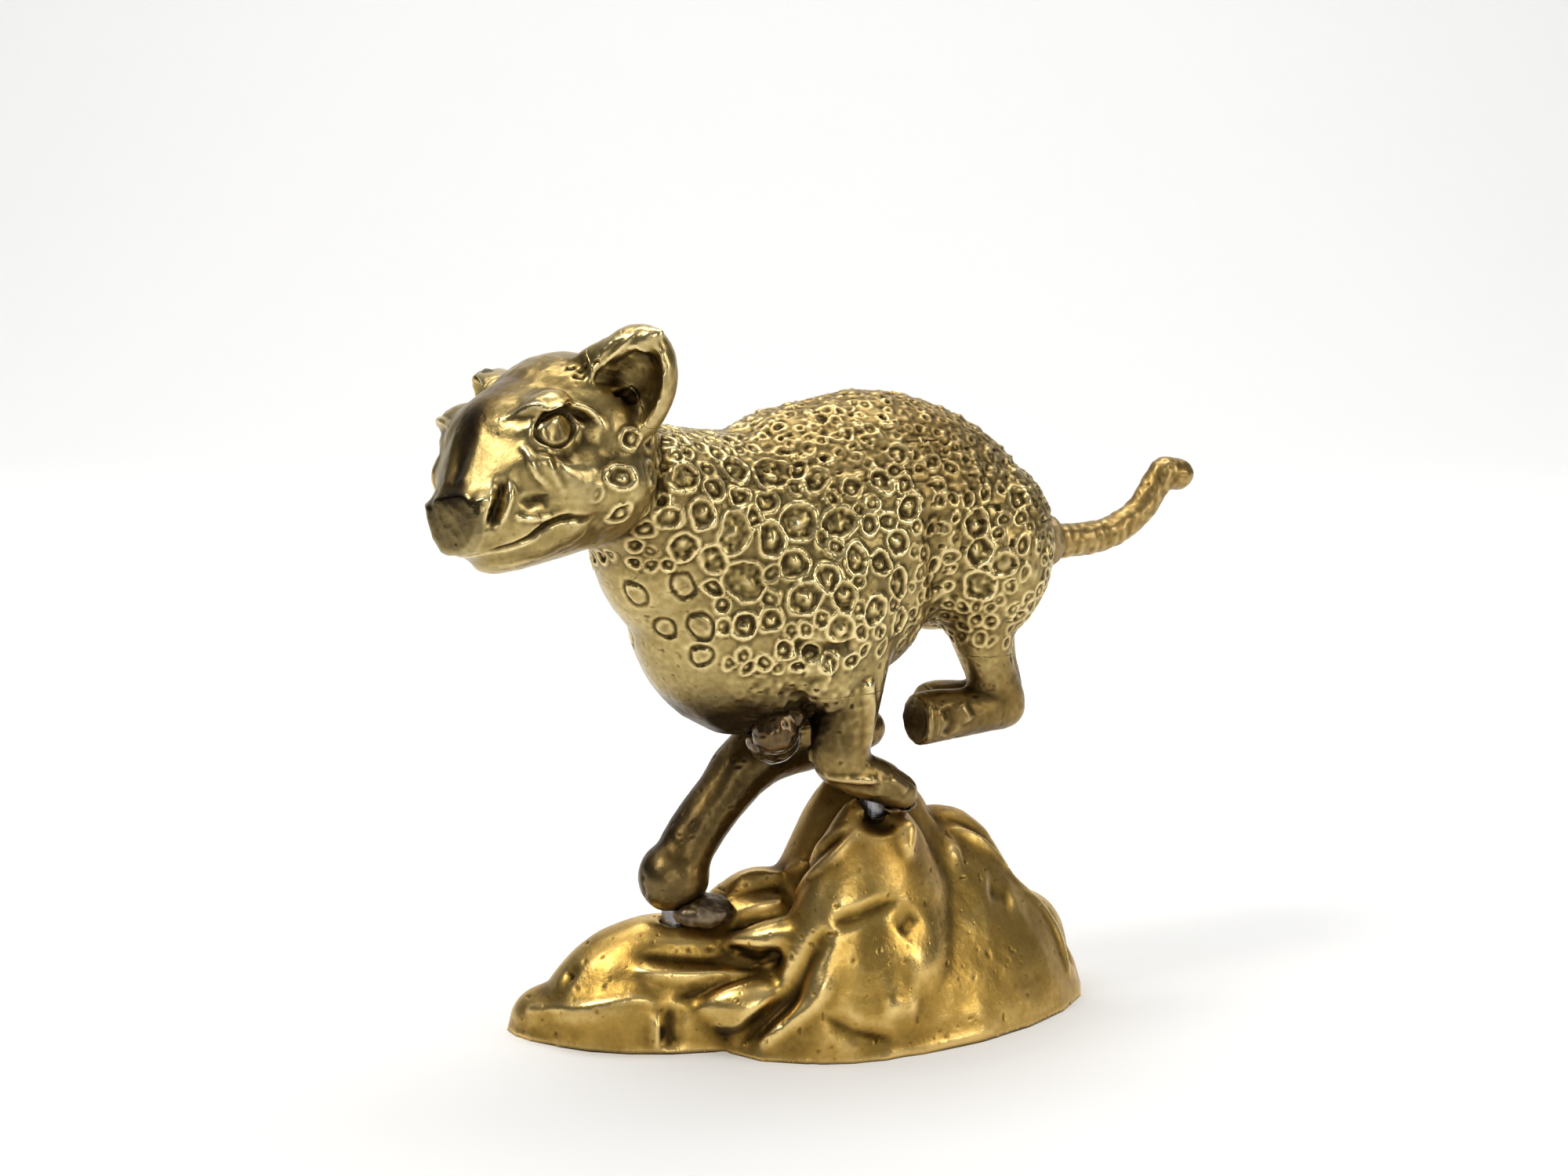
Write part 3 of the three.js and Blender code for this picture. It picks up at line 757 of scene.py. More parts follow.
def texture_body(skin):
    """Hammered legs, a stippled back, a wrinkled tail and the scorched, lumpy skin round the brazing."""
    points = skin.points
    x, _, z = points.T
    on_head = head_share(points)
    low = smooth_step(62, 57, z)
    on_back = smooth_step(83, 90, z + 0.12 * x) * smooth_step(-24, -12, x) * smooth_step(46, 42, x)
    on_rump = smooth_step(4, 12, x) * smooth_step(62, 66, z) * smooth_step(47, 44, x)
    on_tail = smooth_step(46.5, 48, x)
    scorched = fall_off(distance_from(points, [-9, -11, 57], [1.3, 1, 1]), 13)
    smooth_side = bell(distance_from(head_local(points), BRIDGE_SIDE), 5.5, power=4)
    height = 0.09 * wobble(points, 3.1, 31) * (0.3 + low) * (1 - on_tail)
    flecks = wobble(points, (1.5, 1.2, 0.85), 32)
    height += (np.clip(flecks - 0.15, 0, 1) * 0.5 - np.clip(-flecks - 0.25, 0, 1) * 0.4) * on_back
    height += 0.16 * wobble(points, (1.1, 1.1, 1.6), 33) * on_rump * (1 - on_back)
    height += 0.11 * wobble(points, (1.0, 3, 2.2), 34) * on_tail
    height += 0.12 * wobble(points, 1.1, 35) * on_tail
    height += (0.35 * wobble(points, 1.7, 36) + 0.22 * wobble(points, 0.9, 37)) * scorched
    height += 0.045 * wobble(points, 0.9, 38)
    flaws = np.clip(wobble(points, (1.6, 0.8, 0.8), 39) - 0.62, 0, 1) * 1.6
    height -= flaws * (1 - 0.6 * on_head) * (0.25 + 0.75 * (on_back + on_rump + scorched).clip(0, 1))
    ridge = fall_off(distance_from(points, [8, -1, 102.5], [3.4, 1.2, 1]), 2.0)
    height -= ridge * np.clip(wobble(points, 1.0, 40), 0, 1) * 0.7
    skin.push(height * (1 - 0.8 * smooth_side))
    skin.refresh()


def paint_cat(skin):
    """The patina's masks, with painted shade and painted highlights, from the finished shape."""
    points = skin.points
    x, y, z = points.T
    head = head_local(points)
    on_head = head_share(points)
    fine = skin.relief(6)
    broad = skin.relief(40)
    relief = np.clip(fine / 0.10, -1, 1) * 0.75 + np.clip(broad / 0.35, -1, 1) * 0.4
    hollow = np.clip(-broad / 0.30 - 0.25, 0, 1)
    scorched = fall_off(distance_from(points, [-11, -8, 54], [1.4, 1, 1]), 11)
    shade_under_belly = smooth_step(62, 54, z) * smooth_step(45, 50, z) * smooth_step(-34, -24, x) * (x < 12)
    low = smooth_step(60, 52, z)
    on_tail = smooth_step(46, 48, x)
    on_back = smooth_step(84, 96, z) * smooth_step(-24, -8, x)
    crown = on_head * smooth_step(9, 15, head[:, 2]) * smooth_step(12, 8, np.abs(head[:, 1]))
    band = on_head * bell(head[:, 1] - NOSE_MIDDLE, 3.4) * smooth_step(-24, -30, head[:, 0])
    band *= smooth_step(-2, 2, head[:, 2])
    # The bridge's left side is painted golden and lighter, a painted highlight, and left less tarnished.
    bridge_highlight = bell(distance_from(head, BRIDGE_SIDE), 4.2, power=4)
    nose_plane = on_head * smooth_step(-41.6, -42.3, head[:, 0]) * smooth_step(1.8, 0.6, head[:, 2])
    warm = 0.9 * low + 0.7 * on_tail + 0.45 * on_back + 0.5 * crown + 0.9 * band + 0.3 * (x > 10)
    warm -= 1.2 * bridge_highlight + 0.8 * nose_plane
    warm += 0.25 * wobble(points, 9, 51)
    # Darker in broad hollows (patina and painted shade), round the brazing (scorch), and with painted shade
    # under the belly and on the legs below the body.
    shade = 0.7 * hollow + 0.7 * scorched + 0.3 * shade_under_belly + 0.42 * low
    one_side = head * [1, 0, 1] - [0, 1, 0] * np.abs(head)  # both sides, as the left one
    ear_hole_shade = bell(distance_from(one_side, [-18.6, -13.2, 12.6]), 2.4)
    socket = fall_off(distance_from(one_side, [-31, -12, 7.6]), 7)
    # Painted shade with patina in the eye socket; the top of the head and the ears painted lighter, as lit
    # from above.
    shade += 0.3 * socket - 0.5 * on_head * smooth_step(12, 15, head[:, 2])
    # Painted shade in the ear hole.
    shade += 1.2 * ear_hole_shade - 0.3 * bridge_highlight + 0.8 * band * (1 - bridge_highlight) + 0.5 * nose_plane + 0.12 * on_head
    shade += 0.18 * wobble(points, 4, 52)
    chest = smooth_step(-20, -28, x) * smooth_step(82, 76, z) * smooth_step(52, 58, z)
    # The left forearm's front is painted lighter, a painted highlight, and made smoother.
    forearm = bell(distance_from(points, [1.6, -15, 52], [1, 1, 2.6]), 3.2)
    # Painted shade on the far foreleg and on the lower front of the chest.
    far_leg_shade = smooth_step(50, 44, z) * smooth_step(27, 36, z) * smooth_step(-4, 0, y) * (x < 12)
    shade += 0.28 * far_leg_shade + 0.22 * smooth_step(72, 58, z) * smooth_step(-18, -24, x) - 0.7 * forearm
    polish = 0.5 * chest - 0.5 * bridge_highlight + 0.8 * forearm + 0.4 * crown + 0.3 * nose_plane - 0.5 * on_back
    skin.keep_patina(relief, warm, shade, polish)


# ---------------------------------------------------------------- the cat, parted into its castings

PIECES = []


def closed_box(low, high, turn=None, about=None):
    """A cutting box, in the layout, or in a frame that is turned and stands at a point."""
    shape = bmesh.new()
    bmesh.ops.create_cube(shape, size=1)
    low, high = np.array(low, float), np.array(high, float)
    for vertex in shape.verts:
        corner = (np.array(vertex.co) + 0.5) * (high - low) + low
        if turn is not None:
            corner = turn @ corner + np.array(about)
        vertex.co = Vector((corner + ORIGIN) * MM)
    mesh = bpy.data.meshes.new("cutter")
    shape.to_mesh(mesh)
    shape.free()
    return new_object("cutter", mesh)


def facing(direction):
    """A turn that carries +X to this direction."""
    return np.array(Vector(direction).to_track_quat("X", "Z").to_matrix())


def casting_cutters():
    """For each casting but the torso, the box that parts it from the rest."""
    head_way = (-0.95, -0.1, 0.3)
    cranium = from_head((-20, 0, 7.2))
    ears = {}
    for name, side in (("left_ear_casting", -1), ("right_ear_casting", 1)):
        outward = np.array([0.06, side * 0.86, 0.5]) @ HEAD_AXES.T
        ears[name] = closed_box((14.7, -13, -13), (40, 13, 13), facing(outward), cranium)
    return {
        **ears,
        "head_casting": closed_box((0, -60, -60), (80, 60, 60), facing(head_way), (-31.5, -2, 88)),
        "tail_casting": closed_box((47.9, -12, 66), (95, 16, 100)),
        "left_foreleg_casting": closed_box((-7.5, -30, 34), (16, -5.4, 57)),
        "right_foreleg_casting": closed_box((-40, -1, 10), (19.5, 18, 48.3)),
        "left_hind_leg_casting": closed_box((11.5, -30, 43), (52, -3.4, 60)),
        "right_hind_leg_casting": closed_box((19.6, -3.2, 41), (52, 30, 60)),
    }


def boolean(obj, cutter, operation):
    """A copy of a mesh object, cut by another."""
    copy = new_object(obj.name, obj.data.copy())
    apply_modifier(copy, "BOOLEAN", operation=operation, object=cutter, solver="MANIFOLD")
    return copy


def part_castings(skin, material):
    """Cuts the skin into one closed piece for each casting."""
    rest = skin.obj
    for node, cutter in casting_cutters().items():
        piece = boolean(rest, cutter, "INTERSECT")
        remainder = boolean(rest, cutter, "DIFFERENCE")
        bpy.data.objects.remove(rest)
        bpy.data.objects.remove(cutter)
        rest = remainder
        finish_piece(piece, node, material)
    finish_piece(rest, "torso_casting", material)


def finish_piece(piece, node, material, name=None):
    """Names a piece, gives it its metal, sets it on the root body, and hides its CAD node."""
    piece.name = name or node.replace("_casting", "")
    piece.data.name = piece.name
    piece.data.materials.clear()
    piece.data.materials.append(material)
    piece.data.polygons.foreach_set("use_smooth", [True] * len(piece.data.polygons))
    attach(piece, "root")
    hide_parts(node)
    PIECES.append(piece.name)


# ---------------------------------------------------------------- the rock

ROCK_VOXEL = 0.45
RIM_HEIGHT = 0.35  # the rim that stands on the ground stays flat

ROCK_LUMPS = (
    ((-10.5, -6, 17.4), (8.5, 3.4, 3.0), (1, -1.05, 0.4)),  # leaf below the folds
    ((0, -16, 24), (6, 2, 2.2), (1, -0.2, 0.35)),  # leaf above the star
    ((-31, 5, 5), (11, 4.2, 4.2), (1, -0.75, 0.1)),  # rolled lip of the snout
    ((9, -15, 33), (3.4, 2, 2.2), (0.4, 0, 1)),
    ((-14, -6.5, 7), (9, 5, 5), (1, -0.5, 0)),
)

ROCK_LINES = (
    ([(-42.7, 17.3, 3.9), (-41.2, 14.4, 5.1), (-36.6, 6.5, 6.6), (-30, 1.2, 8.4), (-27, -1.3, 7)], 2.2, 0.8),
    ([(-26, -2, 8), (-26.2, -2.2, 4), (-26.4, -2.4, 0.6)], 2.2, -1.0),  # where the lip ends
    ([(-27.8, -1, 7), (-28, -1.3, 3), (-28.2, -1.5, 0.6)], 1.2, 0.8),
    ([(-38.5, 12, 12), (-37.4, 10, 10.6)], 1.6, -0.8),  # notch behind the snout
    ([(-30.6, 4.1, 12.8), (-25.6, 0.3, 12.1), (-18, -3, 11.9), (-11.6, -6.8, 12.5)], 1.6, 1.0),  # ledge
    ([(-30.6, 4.8, 15), (-24, 0.8, 14.6), (-16, -4, 14.6), (-11, -8, 15)], 2.2, -0.9),
    ([(-26, -1.2, 8.4), (-19.6, -3.8, 9.6), (-12.3, -7.4, 11)], 1.6, -0.9),
    ([(-5.5, -16.1, 21.3), (-8.4, -15, 16.5), (-11.4, -13, 9.6), (-15, -10.4, 4.6), (-17.4, -8.4, 1)],
     1.8, -2.0),  # deep fold before the near lobe
    ([(-17, -9.6, 1.2), (-12.6, -13.8, 5.4), (-8.6, -16.8, 9.6), (-6, -17.2, 15)],
     1.6, 1.1),  # its bright edge
    ([(-14.5, 0.6, 17.4), (-9.5, -5, 16.4), (-6, -13.5, 19)], 1.5, -1.2),
    ([(-14.3, 1.2, 20), (-8, -3, 22.4), (-4, -10.5, 28), (-1, -13.4, 33), (1.5, -13.4, 35.6)], 0.9, 0.8),
    ([(-13.6, 2.6, 21.8), (-7, -1, 24.4), (-3.6, -9.6, 30), (0, -13, 34.6)], 1.3, -0.7),
    ([(-13.1, 4.8, 23), (-6.6, 1.9, 25.6), (-3.5, -8, 31.6), (1.2, -13, 35.8)], 1.0, 0.6),
    ([(-5.5, -16.1, 21.3), (-0.6, -18.2, 22.8), (5.7, -18.2, 24.4)], 1.3, -1.0),
    ([(4.4, -13.6, 37)], 3.0, -2.4),  # dark hollow under the left forepaw
    ([(3.6, -14.6, 35.4), (7.4, -15, 35.2)], 1.2, -0.8),
    ([(8.5, -15.8, 33), (9, -16.4, 29.5)], 1.4, 0.6),
    ([(20, -11, 38), (27, -10, 34), (34, -9, 27), (40, -8.4, 19), (43.2, -10, 11), (43.4, -12, 5)],
     1.0, 0.6),  # edge of the near lobe, and the fold behind it
    ([(21, -8.6, 38), (28, -7.6, 34), (35.2, -6.4, 27), (41.4, -5.8, 19), (44.6, -7, 11), (45, -9, 5)],
     1.5, -1.2),
    ([(22, -14, 33), (26, -13.4, 31)], 3.0, 0.6),
    ([(28, -15, 24), (34, -13.6, 20)], 4.0, -0.7),
    ([(-8.5, -17.5, 8.1), (-4.9, -20.4, 5.4), (-1.2, -21.6, 4), (3.4, -22, 2.6)], 1.6, -0.7),
    ([(0.5, -20, 8), (8, -21, 7.6)], 4.0, 0.6),
    ([(9, -20.4, 13)], 8.0, 0.8),  # belly of the near lobe
    ([(5, -20, 19), (9, -19.6, 22)], 2.6, -0.5),
    ([(36, -10, 22), (41, -8, 14.6), (43, -10.5, 8), (43.4, -13, 3)], 1.2, 0.7),  # crease by the far lobe
    ([(39, -5, 20), (44, -4.6, 14), (46, -6.6, 8), (46.4, -9, 3)], 1.8, -1.2),
    ([(-9, -10.5, 1.4), (-2, -19.5, 1), (12, -22.2, 1), (30, -18.6, 1)], 1.3, 0.35),
    ([(-6, 21, 14), (6, 22, 8), (22, 20, 4)], 3.0, -1.0),  # folds of the far face
    ([(4, 18.5, 24), (14, 17.6, 20), (26, 15, 16)], 2.4, 0.9),
    ([(4, 20, 20), (15, 19.6, 15.6), (28, 16.4, 12)], 2.0, -1.1),
    ([(-22, 17.5, 12), (-14, 20, 6), (-8, 22, 2)], 2.2, -1.1),
    ([(-26, 18.5, 9), (-19, 20.5, 5)], 1.8, 0.8),
)


def rock_skin():
    """The rock base: outside carved into folds, its hollow and bosses left plain."""
    skin = fused(("rock_base_casting",), ROCK_VOXEL, ROCK_LUMPS)
    on_rim = skin.points[:, 2] < RIM_HEIGHT
    skin.smooth(np.where(on_rim, 0, 0.5), 22)
    skin.refresh()
    skin.push(np.where(on_rim, 0, -SWELL * 0.5))
    skin.refresh()
    skin.note_surface()
    # Each fold is carved broadly, softened, and then sharpened along its middle.
    for line, width, height in ROCK_LINES:
        skin.stroke(line, width * 1.45, height * 0.85, taper=(0.3, 0.3))
    skin.refresh()
    skin.smooth(np.where(on_rim, 0, 0.5), 8)
    skin.refresh()
    for line, width, height in ROCK_LINES:
        skin.stroke(line, width * 0.6, height * 0.42, taper=(0.3, 0.3))
    skin.refresh()
    outside = outside_share(skin)
    height = 0.25 * wobble(skin.points, 7, 61) + 0.05 * wobble(skin.points, 2.4, 62)
    height += 0.02 * wobble(skin.points, 1.0, 63)
    height -= np.clip(wobble(skin.points, 1.0, 64) - 0.72, 0, 1) * 1.2  # casting pits
    skin.push(height * (0.35 + 0.65 * outside) * smooth_step(0.3, 2.0, skin.points[:, 2]))
    skin.points[skin.points[:, 2] < RIM_HEIGHT, 2] = 0
    skin.refresh()
    return skin


def outside_share(skin):
    """1 on the outside of the rock, 0 inside its hollow."""
    up_or_out = skin.normals[:, 2] + 0.02 * ((skin.points - [4, 0, 8]) * skin.normals).sum(1)
    return smooth_step(-0.15, 0.15, up_or_out)


def paint_rock(skin):
    """The patina's masks: warm folds, a smoother near lobe painted lighter as a highlight, and painted shade
    in the hollow inside.
    """
    points = skin.points
    x, _, z = points.T
    outside = outside_share(skin)
    fine = skin.relief(8)
    broad = skin.relief(60)
    relief = np.clip(fine / 0.10, -1, 1) * 0.5 + np.clip(broad / 0.5, -1, 1) * 0.6
    hollow = np.clip(-broad / 0.45 - 0.25, 0, 1)
    top = smooth_step(24, 34, z)
    by_paw = fall_off(distance_from(points, [-16, 4, 21], [1.3, 1, 0.8]), 9)
    shade_under_paw = fall_off(distance_from(points, [5, -13, 37.5]), 6)
    folds = fall_off(distance_from(points, [-6, -3, 26], [1.5, 1.2, 1.2]), 9)
    warm = 0.55 * top + 0.7 * by_paw + 0.9 * folds + 0.35 * smooth_step(3, 0, z)
    warm += 0.25 * wobble(points, 8, 71)
    # Painted shade: in broad hollows with their patina, under the left forepaw, inside the rock's hollow, and
    # on the rock's left end.
    shade = 0.55 * hollow + 0.9 * shade_under_paw + 0.25 * by_paw + 0.85 * (1 - outside)
    shade += 0.15 * wobble(points, 4, 72) + 0.22 * smooth_step(-18, -30, x)
    # The near lobe is painted lighter, a painted highlight, and made smoother.
    near_lobe_highlight = bell(distance_from(points, [9, -20, 14], [1, 1, 1.2]), 11)
    shade -= 0.3 * near_lobe_highlight
    polish = 0.3 + 0.6 * near_lobe_highlight - 0.8 * (1 - outside) - 0.4 * top
    skin.keep_patina(relief, warm, shade, polish)


# ---------------------------------------------------------------- filler metal

FILLER_VOXEL = 0.2
BEAD_LUMPS = (
    ((-11.2, -9.4, 51.2), (3.9, 3.0, 3.7), (1, 0, 0)),
    ((-8.4, -9.6, 53.4), (2.4, 2.2, 2.4), (1, 0, 0)),
)


def sculpt_filler(node, roughness, seed, lumps=()):
    """A run of braze or solder: the CAD's blob, slumped and lumpy."""
    skin = fused((node,), FILLER_VOXEL, lumps, swell=0.1)
    skin.smooth(0.5, 60)
    skin.refresh()
    height = roughness * (wobble(skin.points, 1.6, seed) + 0.5 * wobble(skin.points, 0.8, seed + 1))
    skin.push(height + 0.1)
    skin.refresh()
    skin.keep("relief", skin.relief(6) / 0.08, -1, 1)
    return skin.obj


# ---------------------------------------------------------------- materials


class Nodes:
    """A small helper for building a node material."""

    def __init__(self, name):
        self.material = bpy.data.materials.new(name)
        self.material.use_nodes = True
        self.tree = self.material.node_tree
        self.shader = self.tree.nodes["Principled BSDF"]

    def add(self, kind, **settings):
        node = self.tree.nodes.new(kind)
        for key, value in settings.items():
            setattr(node, key, value)
        return node

    def link(self, source, target):
        self.tree.links.new(source, target)

    def feed(self, value, socket):
        """Puts a number, a colour or another node's output on a socket."""
        if isinstance(value, bpy.types.NodeSocket):
            self.link(value, socket)
        else:
            socket.default_value = value

    def math(self, operation, first, second=0.5, third=0.5, clamp=False):
        node = self.add("ShaderNodeMath", operation=operation, use_clamp=clamp)
        for socket, value in zip(node.inputs, (first, second, third)):
            self.feed(value, socket)
        return node.outputs[0]

    def varied(self, value, source, amount, clamp=False):
        """A value made a little larger or smaller by a noise, which is about 0.5."""
        swing = self.math("MULTIPLY", self.math("SUBTRACT", source, 0.5), amount)
        return self.math("ADD", value, swing, clamp=clamp)

    def mix(self, share, first, second, blend="MIX"):
        node = self.add("ShaderNodeMix", data_type="RGBA", blend_type=blend)
        for socket, value in zip((node.inputs[0], node.inputs[6], node.inputs[7]), (share, first, second)):
            if isinstance(value, tuple) and len(value) == 3:
                value = (*value, 1)
            self.feed(value, socket)
        return node.outputs[2]

    def attribute(self, name):
        return self.add("ShaderNodeAttribute", attribute_name=name).outputs["Fac"]

    def noise(self, scale, detail=4.0, roughness=0.55):
        place = self.add("ShaderNodeTexCoord").outputs["Object"]
        node = self.add("ShaderNodeTexNoise")
        node.inputs["Scale"].default_value = scale
        node.inputs["Detail"].default_value = detail
        node.inputs["Roughness"].default_value = roughness
        self.link(place, node.inputs["Vector"])
        return node.outputs[0]

    def between(self, value, low, high, first=0.0, second=1.0):
        """A value carried from low..high to first..second, and held there."""
        node = self.add("ShaderNodeMapRange")
        for socket, number in zip(list(node.inputs)[:5], (value, low, high, first, second)):
            self.feed(number, socket)
        return node.outputs[0]

    def ramp(self, value, stops):
        node = self.add("ShaderNodeValToRGB")
        elements = node.color_ramp.elements
        while len(elements) < len(stops):
            elements.new(0.5)
        for element, (place, color) in zip(elements, stops):
            element.position = place
            element.color = (*color, 1)
        self.link(value, node.inputs[0])
        return node.outputs[0]

    def bump(self, height, strength, distance):
        node = self.add("ShaderNodeBump")
        node.inputs["Strength"].default_value = strength
        node.inputs["Distance"].default_value = distance
        self.link(height, node.inputs["Height"])
        self.link(node.outputs[0], self.shader.inputs["Normal"])

    def pits(self, scale, size):
        """Casting pits: 1 in a pit, 0 outside."""
        place = self.add("ShaderNodeTexCoord").outputs["Object"]
        node = self.add("ShaderNodeTexVoronoi")
        node.inputs["Scale"].default_value = scale
        self.link(place, node.inputs["Vector"])
        return self.between(node.outputs["Distance"], size, size * 0.4)


# The dark that the shade mask mixes in: soot and scale, and painted shade.
SOOT_AND_SHADE = (0.040, 0.026, 0.011)
TARNISH = (0.60, 0.50, 0.38)  # what tarnish leaves of the metal's colour


def blended(first, second, share):
    """A colour between two, with this share of the second."""
    return tuple((1 - share) * a + share * b for a, b in zip(first, second))


def aged_brass(name, bright, middle, dark, rough, patch=0.5):
    """Old cast brass: rubbed bright on its ridges, dull and dark in its hollows, with patches of patina.
    The dark in the hollows is patina together with painted shade.

    The sculpted pieces carry relief (-1 in hollows, 1 on ridges), warm (a browner, duller patina),
    shade (dirt and scale, and painted shade; lowered where highlights are painted), and polish
    (rubbed smooth). rough is for the ridges and the hollows.
    """
    n = Nodes(name)
    n.shader.inputs["Metallic"].default_value = 1
    relief, warm, shade, polish = (n.attribute(mask) for mask in ("relief", "warm", "shade", "polish"))
    patches = n.noise(110, detail=6, roughness=0.62)
    clouds = n.noise(38, detail=3)
    grain = n.noise(1400, detail=3, roughness=0.6)
    pits = n.pits(420, 0.16)
    wear_and_shade = n.math("MULTIPLY_ADD", relief, 0.5, 0.5)
    wear_and_shade = n.varied(wear_and_shade, patches, patch)
    wear_and_shade = n.varied(wear_and_shade, grain, 0.22)
    wear_and_shade = n.math("SUBTRACT", wear_and_shade, n.math("MULTIPLY", pits, 0.12), clamp=True)
    # The ramp darkens the hollows: patina together with painted shade. The ridges are rubbed bright.
    color = n.ramp(wear_and_shade, [(0.0, dark), (0.32, blended(middle, dark, 0.55)), (0.55, middle), (1.0, bright)])
    tarnish = n.between(n.varied(warm, clouds, 0.9), 0.0, 1.0)
    color = n.mix(tarnish, color, n.mix(0.85, color, TARNISH, blend="MULTIPLY"))
    # Darkens by the shade mask: soot and scale, and painted shade.
    soot_and_shade = n.between(n.varied(shade, patches, 0.8), 0.1, 1.0)
    color = n.mix(soot_and_shade, color, SOOT_AND_SHADE)
    n.link(color, n.shader.inputs["Base Color"])
    roughness = n.between(wear_and_shade, 0.0, 1.0, rough[1], rough[0])
    roughness = n.math("ADD", roughness, n.math("MULTIPLY", tarnish, 0.09))
    roughness = n.math("SUBTRACT", roughness, n.math("MULTIPLY", polish, 0.14))
    n.link(n.varied(roughness, clouds, 0.12, clamp=True), n.shader.inputs["Roughness"])
    height = n.math("ADD", grain, n.math("MULTIPLY", patches, 0.9))
    height = n.math("SUBTRACT", height, n.math("MULTIPLY", pits, 0.8))
    n.bump(height, 0.5, 0.00009)
    return n.material


def filler_metal(name, bright, dark, metallic, rough, coat=0.0):
    """A run of braze or solder: slumped, pitted, and stained by flux."""
    n = Nodes(name)
    n.shader.inputs["Metallic"].default_value = metallic
    n.shader.inputs["Coat Weight"].default_value = coat
    n.shader.inputs["Coat Roughness"].default_value = 0.08
    relief = n.attribute("relief")
    patches = n.noise(260, detail=6, roughness=0.65)
    grain = n.noise(1500, detail=3)
    wear_and_shade = n.math("MULTIPLY_ADD", relief, 0.35, patches, clamp=True)
    n.link(n.ramp(wear_and_shade, [(0.32, dark), (0.68, bright)]), n.shader.inputs["Base Color"])
    n.link(n.between(n.math("ADD", patches, n.math("MULTIPLY", grain, 0.4)), 0.4, 1.0, *rough),
           n.shader.inputs["Roughness"])
    n.bump(n.math("ADD", patches, n.math("MULTIPLY", grain, 0.5)), 0.6, 0.00012)
    return n.material


def turned_steel(name):
    """Zinc-dulled steel with turning marks and a little rust."""
    n = Nodes(name)
    n.shader.inputs["Metallic"].default_value = 1
    place = n.add("ShaderNodeTexCoord").outputs["Object"]
    rings = n.add("ShaderNodeTexWave", wave_type="BANDS", bands_direction="Z")
    rings.inputs["Scale"].default_value = 900
    rings.inputs["Distortion"].default_value = 1.5
    n.link(place, rings.inputs["Vector"])
    patches = n.noise(350, detail=6, roughness=0.65)
    rust = n.between(patches, 0.56, 0.66)
    steel = n.ramp(patches, [(0.3, (0.20, 0.20, 0.21)), (0.6, (0.46, 0.46, 0.47))])
    n.link(n.mix(rust, steel, (0.16, 0.07, 0.03)), n.shader.inputs["Base Color"])
    n.link(n.between(patches, 0.3, 0.7, 0.28, 0.6), n.shader.inputs["Roughness"])
    n.bump(n.math("ADD", rings.outputs["Fac"], n.math("MULTIPLY", patches, 1.5)), 0.3, 0.00004)
    return n.material


# ---------------------------------------------------------------- stage


def add_area_light(name, place, target, size, power, color=(1, 1, 1)):
    data = bpy.data.lights.new(name, "AREA")
    data.shape = "RECTANGLE"
    data.size, data.size_y = size
    data.energy = power
    data.color = color
    light = bpy.data.objects.new(name, data)
    light.location = place
    light.rotation_euler = (Vector(target) - Vector(place)).to_track_quat("-Z", "Y").to_euler()
    bpy.context.scene.collection.objects.link(light)


# The photograph's view, in the layout.
CAMERA_PLACE = (-202.2, -336.6, 131.3)
CAMERA_LOOK = (0.501, 0.8522, -0.1508)
CAMERA_LENS = 57.6
VIEW_TURN = math.radians(-30.5)  # its heading, turned about Z from straight along +Y


def view_place(right, away, up):
    """A place given as the camera sees it: to the right, away from it, and up, in metres."""
    c, s = math.cos(VIEW_TURN), math.sin(VIEW_TURN)
    return (right * c - away * s, right * s + away * c, up)


def make_stage():
    """A floor of white paper that curves up into a backdrop."""
    mesh = bpy.data.meshes.new("studio_sweep")
    shape = bmesh.new()
    front, bend, radius, top, half_width = -1.6, 0.9, 0.5, 2.6, 2.8
    turns = 16
    profile = [(front, 0.0), (bend, 0.0)]
    for i in range(1, turns + 1):
        angle = math.pi / 2 * i / turns
        profile.append((bend + radius * math.sin(angle), radius - radius * math.cos(angle)))
    profile.append((bend + radius, top))
    rows = [[shape.verts.new((x, y, z)) for y, z in profile] for x in (-half_width, half_width)]
    for i in range(len(profile) - 1):
        shape.faces.new((rows[0][i], rows[1][i], rows[1][i + 1], rows[0][i + 1]))
    shape.to_mesh(mesh)
    shape.free()
    for polygon in mesh.polygons:
        polygon.use_smooth = True
    sweep = new_object("studio_sweep", mesh)
    sweep.rotation_euler = (0, 0, VIEW_TURN)
    n = Nodes("studio_paper")
    n.shader.inputs["Base Color"].default_value = (0.88, 0.88, 0.87, 1)
    n.shader.inputs["Roughness"].default_value = 0.9
    sweep.data.materials.append(n.material)


def make_camera():
    """The photograph's view: from the cat's left front, a little above it."""
    data = bpy.data.cameras.new("camera")
    data.sensor_width = 36
    data.lens = CAMERA_LENS
    data.clip_start, data.clip_end = 0.02, 20
    camera = bpy.data.objects.new("camera", data)
    camera.location = (np.array(CAMERA_PLACE) + ORIGIN) * MM
    camera.rotation_mode = "QUATERNION"
    camera.rotation_quaternion = Vector(CAMERA_LOOK).to_track_quat("-Z", "Y")
    bpy.context.scene.collection.objects.link(camera)
    bpy.context.scene.camera = camera


